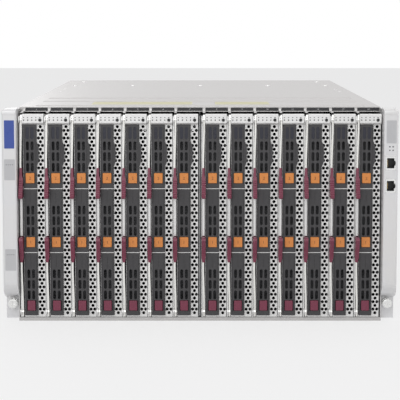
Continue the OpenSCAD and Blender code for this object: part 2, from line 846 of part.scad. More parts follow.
// Left flange and side, the channel that the levers lie in, and the wall beside the drives
module left_side() {
    z = [blade_z0, housing_top];
    y = [front_y, bay_d - joint_gap];
    back = front_y + channel_d;
    block([0, flange_w], [front_y, face_y], z);
    block([shell_x[0], shell_x[0] + shell_t], [face_y - overlap, y[1]], z);
    block([shell_x[0], drive_bay_x[0]], [back, back + shell_t], z);
    block([channel_x[1], drive_bay_x[0]], y, z);
    for (end = [[z[0], z[0] + shell_t], [z[1] - shell_t, z[1]]])
        block([shell_x[0], drive_bay_x[0]], [back, y[1]], end);
    for (i = [0, 1]) {
        hinge_ear(hinge_z[i]);
        translate([0, hinge_y, hinge_z[i]]) rod_x([0.2, hub_x + arm_w + 0.2], pin_r);
    }
    latch_strip();
}

// Airflow duct beside the drives, with the punched grille as its front
module duct() {
    z = [blade_z0, housing_top];
    y = [front_y, bay_d - joint_gap];
    difference() {
        union() {
            block([grille_x, blade_w], [front_y, face_y], z);
            block([grille_x, grille_x + bay_wall], y, z);
            block([shell_x[1] - shell_t, shell_x[1]], y, z);
            block([grille_x, shell_x[1]], y, [z[0], z[0] + shell_t]);
            block([grille_x, shell_x[1]], y, [z[1] - shell_t, z[1]]);
        }
        grille();
    }
}

// Floor, two shelves and top of the drive bay
module drive_cage() {
    x = [drive_bay_x[0] + joint_gap, drive_bay_x[1] - joint_gap];
    y = [front_y, bay_d - joint_gap];
    block(x, y, [blade_z0, bay_z[0]]);
    for (i = [1, 2]) block(x, y, [carrier_z(i) - slide_gap - shelf_t, carrier_z(i) - slide_gap]);
    block(x, y, [bay_z[1], bay_z[1] + shelf_t]);
    block(x, [y[0], face_y], [bay_z[1], housing_top]);
    block(x, y, [housing_top - shell_t, housing_top]);
}

// A cheek in front of the left flange that holds a hinge pin
module hinge_ear(z) {
    block([0, flange_w], [hinge_y, front_y + overlap], [z - cheek_r, z + cheek_r]);
    translate([0, hinge_y, z]) rod_x([0, flange_w], cheek_r);
}

// The strip between the two grips, on which the levers' ends rest
module latch_strip() {
    front = front_y - latch_reach;
    z = [hinge_z[1] + lever_len[1] + 1, hinge_z[0] - lever_len[0] - 1];
    x = [0.7, grip_x + grip_w - 0.9];
    along_z(z) polygon([
        [x[0], front_y + overlap], [x[0], front + 0.8], [x[0] + 0.8, front],
        [x[1] - 0.8, front], [x[1], front + 0.8], [x[1], front_y - 1],
        [flange_w, front_y - 1], [flange_w, front_y + overlap]
    ]);
}

// Holes in a triangular pattern: a middle column, and a pair between each two of its holes
module grille() {
    for (i = [0:hole_rows]) translate([hole_x, 0, hole_z0 + i * hole_pitch]) {
        rod_y([front_y - 1, face_y + 1], hole_r);
        if (i < hole_rows) for (s = [-1, 1])
            translate([s * hole_spread, 0, hole_pitch / 2]) rod_y([front_y - 1, face_y + 1], hole_r);
    }
}

// The outline of the side cover and its screws, cut a little into the housing's left side
module side_panel(x) {
    z = [blade_z0 + 12, blade_top - 12];
    y = [bay_d + 20, blade_d - 15];
    depth = shell_t * 0.4;
    difference() {
        block([x - 1, x + depth], y, z);
        block([x - 2, x + 1], y + [1.2, -1.2], z + [1.2, -1.2]);
    }
    for (cy = y + [10, -10], cz = z + [10, -10])
        translate([0, cy, cz]) rod_x([x - 1, x + depth], 3.2);
}

// Cap over the drives, with the holes for its lights and its power button
module cap() {
    x = [channel_x[1] - 0.3, blade_w];
    y = [front_y - cap_reach, front_y - joint_gap];
    difference() {
        along_x(x) polygon([
            [y[1], cap_z - cap_lip], [y[0] + 3.4, cap_z - cap_lip], [y[0] + 1, cap_z + 0.4],
            [y[0], cap_z + 1.6], [y[0], blade_top - 1], [y[0] + 1, blade_top], [y[1], blade_top]
        ]);
        translate([power_x(), 0, power_z()]) rod_y([y[0] - 1, y[1] - 1], power_r + button_gap);
        for (i = [0:3]) translate([light_x(i), 0, power_z()]) rod_y([y[0] - 1, y[0] + 1.2], light_r);
    }
}

function power_x() = hole_x + 0.3;
function power_z() = cap_z + cap_h * 0.4;
function light_x(i) = carrier_x0 + 1.2 + i * 5;

module power_button() {
    y0 = front_y - cap_reach;
    color(DARK) translate([power_x(), 0, power_z()]) {
        rod_y([y0 - 0.8, y0 + 4.6], power_r);
        rod_y([y0 + 2, y0 + 4.6], power_r + 0.1);
    }
}

// Board with two coolers, a bank of memory and the connectors to the midplane
module blade_board() {
    x = shell_inset + shell_t + joint_gap;
    y = [bay_d + 10, blade_d - 4];
    block([x, x + board_t], y, [blade_z0 + 6, blade_top - 6]);
    for (d = [0.25, 0.62])
        translate([x + board_t - overlap, y[0] + (y[1] - y[0]) * d, blade_z0 + blade_h / 2])
            for (k = [0:4])
                block([0, cooler_w], fin_pitch * [k, k + 0.25], cooler_h * [-0.5, 0.5]);
    for (z = connector_z)
        block([x, blade_w * 0.74], [blade_d - 6, midplane_y - midplane_t - 1.8],
              body_h * z * [1, 1] + connector_h * [-0.5, 0.5]);
}

// ---------- Drive carriers ----------
module carrier(i) {
    z0 = carrier_z(i);
    rail_h = (carrier_h - drive[2]) / 2 - slide_gap;
    translate([carrier_x0, 0, z0]) {
        color(CARRIER) {
            difference() {
                bezel(i);
                translate([carrier_w / 2, 0, release_z + release_h / 2])
                    along_y([bezel_y - 1, bezel_y + bezel_t + 1])
                        round_rectangle(release_w + 2 * button_gap, release_h + 2 * button_gap, 1);
                for (s = [-1, 1], k = [0:2])
                    translate([carrier_w / 2 + s * vent_spread / 2, 0,
                               vent_z + k * vent_pitch + vent_h / 2])
                        slot_y([bezel_y - 1, bezel_y + bezel_t + 1], vent_w, vent_h);
            }
            for (z = [0, carrier_h - rail_h])
                block([0, carrier_w], [bezel_y + bezel_d - overlap, drive[1] + 8], [z, z + rail_h]);
        }
        color(STEEL) translate([(carrier_w - drive[0]) / 2, 4, (carrier_h - drive[2]) / 2])
            cube(drive);
    }
}

// Front of a carrier: a hollow tray with two ribbed cheeks, and two long recesses on the upper one
module bezel(i) {
    difference() {
        union() {
            translate([carrier_w / 2, 0, carrier_h / 2]) along_y([bezel_y, bezel_y + bezel_d])
                round_rectangle(carrier_w, carrier_h, 1.2);
            if (i == 2) bezel_bulge();
        }
        block([1.4, carrier_w - 1.4], [bezel_y + bezel_t, bezel_y + bezel_d + 1],
              [1.4, carrier_h - 1.4]);
        for (x = [1.3, carrier_w - 1.3])
            translate([x, 0, carrier_h / 2]) slot_y([bezel_y - 1, bezel_y + 0.6], 0.7, carrier_h - 8);
        if (i == 2)
            for (s = [-1, 1]) translate([carrier_w / 2 + s * 2.9, 0, carrier_h - 10])
                slot_y([bezel_y - 1, bezel_y + 1.2], 4.2, 15);
        else
            translate([carrier_w / 2, 0, carrier_h - 10]) slot_y([bezel_y - 1, bezel_y + 0.5], 0.8, 15);
    }
}

// The swelling on the right of an upper carrier
module bezel_bulge() {
    z = [26, 58];
    along_y([bezel_y + 0.6, front_y - 0.6]) polygon([
        [carrier_w - 1, z[0]], [carrier_w, z[0]], [carrier_w + 2.6, z[0] + 7],
        [carrier_w + 2.6, z[1] - 7], [carrier_w, z[1]], [carrier_w - 1, z[1]]
    ]);
}

module release_button(i) {
    w = i == 0 ? release_w - 1 : release_w;
    color(i == 0 ? MAROON : ORANGE)
        translate([carrier_x0 + carrier_w / 2, 0, carrier_z(i) + release_z + release_h / 2]) {
            along_y([bezel_y - release_reach, bezel_y + bezel_t + 2])
                round_rectangle(w, release_h, 0.8);
            along_y([bezel_y + bezel_t + 2 - overlap, bezel_y + bezel_d - 2.6])
                square([w * 0.4, release_h * 0.4], center = true);
        }
}

// ---------- Levers ----------
// A lever hanging from its hinge, with the hinge's axis along X through the origin
module lever(k) {
    reach = lever_len[k];
    neck = reach - grip_len[k] - neck_len[k];
    tang = reach - 8;
    color(SILVER) difference() {
        union() {
            rod_x([hub_x, hub_x + arm_w], hub_r);
            along_x([hub_x, hub_x + arm_w]) polygon([
                [-2.2, 0], [-1.3, cam_reach - 0.6], [-0.6, cam_reach], [0.9, cam_reach],
                [1.6, cam_reach - 0.8], [2.2, 0]
            ]);
            lever_arm(tang, 0);
        }
        rod_x([hub_x - 1, hub_x + arm_w + 1], pin_r + pin_gap);
    }
    color(MAROON) difference() {
        grip(reach, neck, grip_len[k]);
        lever_arm(tang + joint_gap, joint_gap);
    }
}

// The arm runs down from the hub, steps to the left and ends inside the grip
module lever_arm(end, grow) {
    bend = [14, 50];
    shift = hub_x - arm_x;
    along_y([back_y - arm_t - grow, back_y - 0.6 + grow]) polygon([
        [hub_x - grow, 0], [hub_x - grow, -bend[0]], [hub_x - shift - grow, -bend[1]],
        [hub_x - shift - grow, -end], [hub_x - shift + arm_w + grow, -end],
        [hub_x - shift + arm_w + grow, -bend[1]], [hub_x + arm_w + grow, -bend[0]],
        [hub_x + arm_w + grow, 0]
    ]);
}

// The grip's side outline crossed with its front outline, with grooves for the finger
module grip(reach, neck, wide) {
    x = [grip_x, grip_x + grip_w];
    z = [-reach, -reach + wide];
    front = [-arm_t + back_y - 1, -grip_reach];
    difference() {
        intersection() {
            along_x(x) polygon([
                [back_y, -neck], [front[0], -neck], [front[0] - 1.4, z[1]],
                [front[1], z[0] + 4], [front[1] + 0.6, z[0] + 1], [front[1] + 1.8, z[0]],
                [back_y, z[0]]
            ]);
            along_y([front[1] - 1, back_y + 1]) polygon([
                [x[0] + 0.8, -neck], [x[1] - 1.2, -neck], [x[1] - 1.2, z[1] + 4], [x[1], z[1]],
                [x[1], z[0] + 0.8], [x[1] - 0.8, z[0]], [x[0] + 0.8, z[0]], [x[0], z[0] + 0.8],
                [x[0], z[1]], [x[0] + 0.5, z[1] + 4]
            ]);
        }
        for (s = [3:groove_pitch:wide - 4]) {
            t = s / (wide - 4);
            translate([0, front[0] - 1.4 + (front[1] - front[0] + 1.4) * t, z[1] - s])
                rod_x([x[0] - 1, x[1] + 1], 0.6);
        }
    }
}

module upper_lever(n) {
    at_slot(n) translate([0, hinge_y, hinge_z[0]]) lever(0);
}

module lower_lever(n) {
    at_slot(n) translate([0, hinge_y, hinge_z[1]]) mirror([0, 0, 1]) lever(1);
}

// ---------- Assembly ----------
module placed() {
    translate([0, -middle_y, 0]) children();
}

placed() enclosure();
placed() centre_post();
placed() front_cover();
placed() rear_cover();
placed() midplane();
placed() left_ear();
placed() right_ear();
placed() left_thumbscrew();
placed() right_thumbscrew();
placed() power_supplies();
placed() network_modules();
for (n = [1:blade_count]) {
    name = blade_name(n);
    placed() blade(n);
    placed() upper_lever(n);
    placed() lower_lever(n);
}
for (i = [0:2]) {
    name = str(blade_name(service_blade), "_", CARRIERS[i]);
    placed() at_slot(service_blade) carrier(i);
    placed() at_slot(service_blade) release_button(i);
}
placed() at_slot(service_blade) power_button();
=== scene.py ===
"""A 6U blade server chassis: sheet metal enclosure, rack ears, fourteen upright blades and rear modules.

Every size is in millimetres in the row frame: X to the right seen from the front, Y to the back, Z up.
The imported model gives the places, and each piece rides on the body that carries it.
"""

from __future__ import annotations

import json
import logging
import math
from collections.abc import Callable, Sequence
from dataclasses import dataclass, field
from enum import Enum

import bmesh
import bpy
from mathutils import Matrix, Vector

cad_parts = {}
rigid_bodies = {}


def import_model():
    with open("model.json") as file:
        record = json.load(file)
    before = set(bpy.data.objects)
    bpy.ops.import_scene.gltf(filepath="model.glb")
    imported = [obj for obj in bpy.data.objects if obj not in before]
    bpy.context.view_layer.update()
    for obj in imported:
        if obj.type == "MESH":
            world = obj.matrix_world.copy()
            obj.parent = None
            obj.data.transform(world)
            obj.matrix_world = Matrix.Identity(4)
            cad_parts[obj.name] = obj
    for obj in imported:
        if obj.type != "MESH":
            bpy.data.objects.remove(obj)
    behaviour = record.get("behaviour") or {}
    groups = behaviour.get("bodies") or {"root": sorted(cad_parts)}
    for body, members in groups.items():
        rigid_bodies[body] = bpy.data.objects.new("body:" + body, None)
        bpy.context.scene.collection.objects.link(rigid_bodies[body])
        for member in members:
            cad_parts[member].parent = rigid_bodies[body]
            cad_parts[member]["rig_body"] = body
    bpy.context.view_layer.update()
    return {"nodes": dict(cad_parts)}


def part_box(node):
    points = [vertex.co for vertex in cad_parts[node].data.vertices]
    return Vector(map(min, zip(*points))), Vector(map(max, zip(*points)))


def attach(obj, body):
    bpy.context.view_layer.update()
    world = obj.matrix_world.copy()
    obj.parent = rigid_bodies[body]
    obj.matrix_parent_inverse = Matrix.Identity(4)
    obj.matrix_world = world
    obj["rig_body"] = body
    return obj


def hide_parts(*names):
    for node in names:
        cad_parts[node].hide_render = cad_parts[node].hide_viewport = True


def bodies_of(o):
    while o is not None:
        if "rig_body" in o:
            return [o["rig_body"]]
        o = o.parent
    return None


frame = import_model()

MM = 0.001
log = logging.getLogger("blade_chassis")

Colour = tuple[float, float, float]
Point = tuple[float, float]
Input = "Socket | float | tuple[float, ...] | Vector"


# ---------- Shader graph ----------
class Socket:
    """A node's output, on which Python's operators add Math nodes."""

    def __init__(self, graph: Graph, link: bpy.types.NodeSocket) -> None:
        """Keeps the graph and the output."""
        self.graph, self.link = graph, link

    def math(self, operation: str, *values: Input) -> Socket:
        """Adds one Math node.

        Args:
            operation: The Math node's operation.
            values: What goes into its inputs, in order.

        Returns:
            The node's result.
        """
        return self.graph.node("ShaderNodeMath", {"operation": operation}, dict(enumerate(values)))

    def __add__(self, other: Input) -> Socket:
        """Adds."""
        return self.math("ADD", self, other)

    def __sub__(self, other: Input) -> Socket:
        """Subtracts."""
        return self.math("SUBTRACT", self, other)

    def __rsub__(self, other: Input) -> Socket:
        """Subtracts from a number."""
        return self.math("SUBTRACT", other, self)

    def __mul__(self, other: Input) -> Socket:
        """Multiplies."""
        return self.math("MULTIPLY", self, other)

    def __truediv__(self, other: Input) -> Socket:
        """Divides."""
        return self.math("DIVIDE", self, other)

    def __rtruediv__(self, other: Input) -> Socket:
        """Divides a number."""
        return self.math("DIVIDE", other, self)

    def __gt__(self, other: Input) -> Socket:
        """Gives 1 where it is larger."""
        return self.math("GREATER_THAN", self, other)

    def __lt__(self, other: Input) -> Socket:
        """Gives 1 where it is smaller."""
        return self.math("LESS_THAN", self, other)

    __radd__ = __add__
    __rmul__ = __mul__

    def power(self, exponent: float) -> Socket:
        """Raises it to a power."""
        return self.math("POWER", self, exponent)

    def soft_step(self, low: float, high: float) -> Socket:
        """Goes smoothly from 0 to 1 between two values.

        Args:
            low: Where it leaves 0.
            high: Where it reaches 1.

        Returns:
            The smooth mask.
        """
        settings = {"interpolation_type": "SMOOTHSTEP"}
        return self.graph.node("ShaderNodeMapRange", settings, {"Value": self, "From Min": low, "From Max": high})


class Graph:
    """One material's nodes, from the coordinates to the shader."""

    def __init__(self, name: str, tree: bpy.types.NodeTree | None = None) -> None:
        """Starts a material with a Principled shader, or takes a tree that is there.

        Args:
            name: The material's name.
            tree: The world's tree, where it isn't a material.
        """
        if tree is None:
            self.material = bpy.data.materials.new(name)
            self.material.use_nodes = True
            tree = self.material.node_tree
        self.tree = tree
        self.shader = tree.nodes.get("Principled BSDF")

    def node(
        self,
        kind: str,
        settings: dict[str, object] | None = None,
        inputs: dict[int | str, Input] | None = None,
        out: int | str = 0,
    ) -> Socket:
        """Adds any node.

        Args:
            kind: The node's type.
            settings: Its own settings, set before its inputs. "stops" are a ramp's places and colours.
            inputs: Values or links for its inputs.
            out: Which output is wanted.

        Returns:
            That output.
        """
        made = self.tree.nodes.new(kind)
        for key, value in (settings or {}).items():
            if key == "stops":
                ramp = made.color_ramp.elements
                while len(ramp) < len(value):
                    ramp.new(1.0)
                for element, (place, colour) in zip(ramp, value):
                    element.position, element.color = place, (*colour, 1.0)
            else:
                setattr(made, key, value)
        for key, value in (inputs or {}).items():
            self.feed(made.inputs[key], value)
        return Socket(self, made.outputs[out])

    def feed(self, target: bpy.types.NodeSocket, value: Input) -> None:
        """Links an output to an input, or sets its value.

        Args:
            target: The input.
            value: An output, a number, a vector or a colour.
        """
        if isinstance(value, Socket):
            self.tree.links.new(value.link, target)
        elif target.type == "RGBA" and not isinstance(value, (int, float)):
            target.default_value = (*value, 1.0)[:4]
        else:
            target.default_value = value

    def place(self, scale: float | tuple[float, float, float] = 1.0, turn: float = 0.0) -> Socket:
        """Gives the piece's own coordinates in millimetres.

        Args:
            scale: Multiplies them, all alike or one by one.
            turn: Turns them about Y, in radians.

        Returns:
            The coordinates.
        """
        factors = (scale,) * 3 if isinstance(scale, (int, float)) else scale
        return self.node(
            "ShaderNodeMapping",
            {"vector_type": "POINT"},
            {
                "Vector": self.node("ShaderNodeTexCoord", out="Object"),
                "Rotation": (0.0, turn, 0.0),
                "Scale": tuple(f / MM for f in factors),
            },
        )

    def noise(self, scale: float | tuple[float, float, float], detail: float = 2.0, rough: float = 0.5) -> Socket:
        """Gives soft noise about 0.

        Args:
            scale: How many features go into a millimetre, all alike or by axis.
            detail: How many octaves it has.
            rough: How strong the finer octaves are.

        Returns:
            Noise from -0.5 to 0.5.
        """
        inputs = {"Vector": self.place(scale), "Scale": 1.0, "Detail": detail, "Roughness": rough}
        return self.node("ShaderNodeTexNoise", {}, inputs) - 0.5

    def cells(self, scale: float, feature: str = "F1") -> Socket:
        """Gives the distances of a Voronoi pattern.

        Args:
            scale: How many cells go into a millimetre.
            feature: Which distance is wanted.

        Returns:
            The distance.
        """
        return self.node("ShaderNodeTexVoronoi", {"feature": feature}, {"Vector": self.place(scale), "Scale": 1.0})

    def mix(self, factor: Input, first: Input, second: Input, how: str = "MIX") -> Socket:
        """Mixes two colours.

        Args:
            factor: How much of the second shows.
            first: The first colour.
            second: The second colour.
            how: The blend type.

        Returns:
            The mixed colour.
        """
        settings = {"data_type": "RGBA", "blend_type": how}
        return self.node("ShaderNodeMix", settings, {0: factor, 6: first, 7: second}, out=2)

    def toned(self, colour: Input, tone: Input) -> Socket:
        """Multiplies a colour by a value.

        Args:
            colour: The colour.
            tone: The value, about 1.

        Returns:
            The toned colour.
        """
        grey = self.node("ShaderNodeCombineColor", {}, {0: tone, 1: tone, 2: tone})
        return self.mix(1.0, colour, grey, "MULTIPLY")

    def bump(self, height: Input, depth: float, strength: float = 1.0) -> Socket:
        """Gives a normal from a height.

        Args:
            height: The height, from 0 to 1.
            depth: Its depth in millimetres.
            strength: How much of it shows.

        Returns:
            The normal.
        """
        inputs = {"Height": height, "Distance": depth * MM, "Strength": strength}
        return self.node("ShaderNodeBump", {}, inputs)

    def seen(self) -> Socket:
        """Gives 1 for what the camera sees directly, in gloss or through glass, and 0 for light."""
        rays = [self.node("ShaderNodeLightPath", out=f"Is {kind} Ray") for kind in ("Camera", "Glossy", "Transmission")]
        return rays[0] + rays[1] + rays[2]

    def surface(self, shader: Socket) -> None:
        """Makes a shader the material's surface."""
        self.feed(self.tree.nodes["Material Output"].inputs["Surface"], shader)

    def finish(self, **values: Input) -> bpy.types.Material:
        """Feeds the shader.

        Args:
            values: The shader's inputs by name, with _ for a space.

        Returns:
            The finished material.
        """
        for key, value in values.items():
            self.feed(self.shader.inputs[key.replace("_", " ")], value)
        return self.material


# ---------- Finishes ----------
@dataclass(frozen=True)
class Finish:
    """What every finish has: its name, the record's slot, its colour and its roughness."""

    name: str
    slot: str
    colour: Colour
    rough: float = 0.4

    def material(self) -> bpy.types.Material:
        """Gives the finish's material, made once.

        Returns:
            The material.
        """
        return bpy.data.materials.get(self.name) or self.build(Graph(self.name))

    def build(self, graph: Graph) -> bpy.types.Material:
        """Builds a plain mottled surface.

        Args:
            graph: The empty graph.

        Returns:
            The material.
        """
        stain = graph.noise(0.05, 4.0)
        return graph.finish(
            Base_Color=graph.toned(self.colour, 1.0 + stain * 0.08), Roughness=self.rough + stain * 0.1
        )


@dataclass(frozen=True)
class SheetSteel(Finish):
    """Rolled sheet: a fine grain along one axis, faint clouds, small bright specks and dull handling marks."""

    metal: float = 0.75
    grain: Colour = (0.05, 4.0, 4.0)
    cloud: float = 0.06
    speck: float = 0.05

    def build(self, graph: Graph) -> bpy.types.Material:
        """Builds the sheet.

        Args:
            graph: The empty graph.

        Returns:
            The material.
        """
        lines = graph.noise(self.grain, 3.0, 0.6)
        clouds = graph.noise(0.02, 5.0, 0.55)
        marks = graph.noise(0.11, 6.0, 0.7).soft_step(0.08, 0.2)
        specks = graph.cells(1.7) < 0.16
        tone = 1.0 + lines * self.cloud + clouds * self.cloud * 2.2 + specks * self.speck - marks * 0.03
        rough = self.rough + lines * 0.16 + clouds * 0.12 + marks * 0.07 - specks * 0.08
        return graph.finish(
            Base_Color=graph.toned(self.colour, tone),
            Roughness=rough,
            Metallic=self.metal,
            Normal=graph.bump(lines + specks * 0.4, 0.012, 0.6),
        )


@dataclass(frozen=True)
class Lacquer(Finish):
    """Sprayed metallic paint on a moulding: fine flakes, orange peel and a faint warm cloud."""

    flake: float = 0.05
    metal: float = 0.2

    def build(self, graph: Graph) -> bpy.types.Material:
        """Builds the lacquer.

        Args:
            graph: The empty graph.

        Returns:
            The material.
        """
        flakes = graph.noise(3.2, 2.0, 0.7)
        peel = graph.noise(0.9, 2.0)
        clouds = graph.noise(0.018, 3.0)
        warm = graph.mix(clouds.soft_step(-0.15, 0.2), self.colour, tuple(c * t for c, t in zip(self.colour, (1, 0.985, 0.96))))
        return graph.finish(
            Base_Color=graph.toned(warm, 1.0 + flakes * self.flake * 2 + clouds * 0.04),
            Roughness=self.rough + flakes * 0.14 + clouds * 0.1,
            Metallic=self.metal,
            Coat_Weight=0.25,
            Coat_Roughness=0.2,
            Normal=graph.bump(peel + flakes * 0.3, 0.02, 0.5),
        )


@dataclass(frozen=True)
class Moulding(Finish):
    """Moulded plastic with an eroded texture, polished a little where hands rub it."""

    texture: float = 2.4
    depth: float = 0.03

    def build(self, graph: Graph) -> bpy.types.Material:
        """Builds the moulding.

        Args:
            graph: The empty graph.

        Returns:
            The material.
        """
        pits = graph.cells(self.texture)
        grain = graph.noise(self.texture * 1.9, 3.0, 0.6)
        rubbed = graph.noise(0.07, 4.0, 0.6).soft_step(0.02, 0.22)
        flow = graph.noise((0.02, 0.02, 0.09), 3.0)
        return graph.finish(
            Base_Color=graph.toned(self.colour, 1.0 + flow * 0.12 + grain * 0.1 - rubbed * 0.04),
            Roughness=self.rough + grain * 0.12 - rubbed * 0.1,
            Normal=graph.bump(pits + grain * 0.5, self.depth, 0.5),
        )


@dataclass(frozen=True)
class CircuitBoard(Finish):
    """Solder mask over fine tracks, with vias and pads in tinned copper."""

    metal_colour: Colour = (0.72, 0.66, 0.45)

    def build(self, graph: Graph) -> bpy.types.Material:
        """Builds the board.

        Args:
            graph: The empty graph.

        Returns:
            The material.
        """
        height = graph.node("ShaderNodeSeparateXYZ", {}, {0: graph.place()}, out=2)
        wave = height * 2.2 + graph.noise(0.06, 1.0) * 14.0
        tracks = wave.math("SINE", wave).soft_step(0.5, 0.9)
        vias = graph.cells(0.16) < 0.17
        cloud = graph.noise(0.03, 3.0)
        green = graph.mix(tracks * 0.6, self.colour, tuple(c * 1.9 for c in self.colour))
        return graph.finish(
            Base_Color=graph.mix(vias, graph.toned(green, 1.0 + cloud * 0.2), self.metal_colour),
            Roughness=self.rough + cloud * 0.1,
            Metallic=vias * 0.9,
            Normal=graph.bump(tracks + vias * 2.0, 0.04, 0.5),
        )


@dataclass(frozen=True)
class Ink(Finish):
    """Printed or pasted film: tiny dots of the screen and a soft wear at random spots."""

    worn: Colour = (0.6, 0.6, 0.6)

    def build(self, graph: Graph) -> bpy.types.Material:
        """Builds the film.

        Args:
            graph: The empty graph.

        Returns:
            The material.
        """
        screen = graph.noise(5.0, 1.0)
        wear = graph.noise(0.3, 5.0, 0.7).soft_step(0.16, 0.3)
        cloud = graph.noise(0.05, 3.0)
        body = graph.toned(self.colour, 1.0 + screen * 0.1 + cloud * 0.08)
        return graph.finish(
            Base_Color=graph.mix(wear * 0.25, body, self.worn),
            Roughness=self.rough + cloud * 0.14 + screen * 0.06,
            Normal=graph.bump(screen, 0.008, 0.4),
        )


@dataclass(frozen=True)
class Lens(Finish):
    """A small tinted lens over a lamp, which can glow faintly all over."""

    glow: float = 0.0

    def build(self, graph: Graph) -> bpy.types.Material:
        """Builds the lens.

        Args:
            graph: The empty graph.

        Returns:
            The material.
        """
        haze = graph.noise(1.6, 3.0)
        lit = graph.toned(self.colour, 1.0 + haze * 0.3)
        return graph.finish(
            Base_Color=lit,
            Roughness=self.rough + haze * 0.1,
            Emission_Color=lit,
            Emission_Strength=self.glow,
            Coat_Weight=0.3,
            Coat_Roughness=0.15,
        )


class Paint:
    """The object's finishes by name."""

    ENCLOSURE = SheetSteel("enclosure_sheet", "enclosure_steel", (0.5, 0.49, 0.485), 0.42)
    COVER = SheetSteel("cover_sheet", "cover_steel", (0.5, 0.485, 0.48), 0.36, grain=(0.04, 3.0, 3.0))
    # Dark steel, also used as painted shade inside the blades' housings and on the drives' fronts.
    DARK_STEEL = SheetSteel("dark_sheet", "dark_steel", (0.075, 0.075, 0.08), 0.45, metal=0.4)
    BLADE = SheetSteel("blade_sheet", "blade_steel", (0.78, 0.775, 0.765), 0.4, metal=0.45, grain=(3.0, 3.0, 0.08), speck=0.1)
    CAP = SheetSteel("cap_sheet", "blade_steel", (0.83, 0.825, 0.815), 0.42, metal=0.35, grain=(3.0, 3.0, 3.0), speck=0.12)
    LEVER = SheetSteel("lever_sheet", "lever_steel", (0.84, 0.83, 0.8), 0.24, metal=0.85, grain=(4.0, 4.0, 0.05))
    SCREW = SheetSteel("nickel", "bright_steel", (0.82, 0.82, 0.81), 0.25, metal=0.7, grain=(2.0, 0.2, 2.0), speck=0.02)
    MODULE = SheetSteel("module_sheet", "module_steel", (0.6, 0.6, 0.59), 0.38, metal=0.7)
    EAR = Lacquer("ear_lacquer", "ear_silver", (0.83, 0.83, 0.84), 0.36)
    CARRIER = Moulding("carrier_moulding", "carrier_plastic", (0.047, 0.045, 0.048), 0.42)
    SMOKE = Moulding("smoke_inlay", "carrier_plastic", (0.018, 0.019, 0.034), 0.3, depth=0.01)
    ORANGE = Moulding("orange_moulding", "orange_plastic", (0.87, 0.32, 0.075), 0.42)
    MAROON = Moulding("maroon_moulding", "maroon_plastic", (0.22, 0.038, 0.075), 0.4)
    BLACK = Moulding("black_moulding", "black_plastic", (0.012, 0.012, 0.013), 0.35)
    BOARD = CircuitBoard("board_mask", "circuit_board", (0.012, 0.09, 0.035), 0.3)
    STRIP = Ink("label_film", "label_strip", (0.028, 0.028, 0.032), 0.35, worn=(0.2, 0.2, 0.2))
    WHITE_INK = Ink("white_ink", "panel_grey", (0.75, 0.75, 0.75), 0.5)
    GREY_INK = Ink("grey_ink", "panel_grey", (0.16, 0.16, 0.17), 0.5, worn=(0.5, 0.5, 0.5))
    BROWN_INK = Ink("brown_ink", "orange_plastic", (0.16, 0.045, 0.015), 0.5, worn=(0.6, 0.25, 0.08))
    PANEL = Ink("panel_film", "panel_grey", (0.64, 0.64, 0.65), 0.45)
    BADGE = Ink("badge_film", "badge_blue", (0.055, 0.105, 0.42), 0.3, worn=(0.2, 0.3, 0.6))
    PAPER = Ink("bare_label", "label_strip", (0.8, 0.77, 0.5), 0.55, worn=(0.85, 0.83, 0.7))
    DARK_LENS = Lens("dark_lens", "status_light", (0.02, 0.022, 0.02), 0.3)
    GREEN_LENS = Lens("green_lens", "status_light", (0.06, 0.5, 0.12), 0.15, glow=0.6)
    GOLD = SheetSteel("contact_gold", "bright_steel", (0.85, 0.6, 0.2), 0.22, metal=0.95, grain=(2.0, 2.0, 2.0))


# ---------- Forms ----------
class Axis(Enum):
    """The direction that an outline is drawn out along."""

    X = 0
    Y = 1
    Z = 2

    def point(self, a: float, b: float, along: float) -> tuple[float, float, float]:
        """Gives the point at a, b in the outline's plane.

        Args:
            a: The outline's first value.
            b: The outline's second value.
            along: The value on this axis.

        Returns:
            The point.
        """
        return {Axis.X: (along, a, b), Axis.Y: (a, along, b), Axis.Z: (a, b, along)}[self]


def rounded(cx: float, cy: float, width: float, height: float, radius: float, steps: int = 4) -> list[Point]:
    """Gives a rectangle with round corners.

    Args:
        cx: Its middle.
        cy: Its middle.
        width: Its width.
        height: Its height.
        radius: The corners' radius.
        steps: How many edges a corner has.

    Returns:
        Its outline.
    """
    corners = ((1, 1, 0.0), (-1, 1, 0.5), (-1, -1, 1.0), (1, -1, 1.5))
    return [
        (
            cx + sx * (width / 2 - radius) + radius * math.cos(math.pi * (start + k / steps / 2)),
            cy + sy * (height / 2 - radius) + radius * math.sin(math.pi * (start + k / steps / 2)),
        )
        for sx, sy, start in corners
        for k in range(steps + 1)
    ]


def circle(cx: float, cy: float, radius: float, count: int = 24) -> list[Point]:
    """Gives a circle.

    Args:
        cx: Its middle.
        cy: Its middle.
        radius: Its radius.
        count: How many edges it has.

    Returns:
        Its outline.
    """
    turns = [2 * math.pi * k / count for k in range(count)]
    return [(cx + radius * math.cos(t), cy + radius * math.sin(t)) for t in turns]


@dataclass
class Solid:
    """One closed solid of a CAD node, with its box in millimetres."""

    faces: list[tuple[int, ...]]
    points: dict[int, Vector]
    low: Vector = field(init=False)
    high: Vector = field(init=False)

    def __post_init__(self) -> None:
        """Measures the box."""
        self.low = Vector(min(p[k] for p in self.points.values()) for k in range(3))
        self.high = Vector(max(p[k] for p in self.points.values()) for k in range(3))

    @property
    def size(self) -> Vector:
        """The box's size."""
        return self.high - self.low

    @property
    def middle(self) -> Vector:
        """The box's middle."""
        return (self.high + self.low) / 2


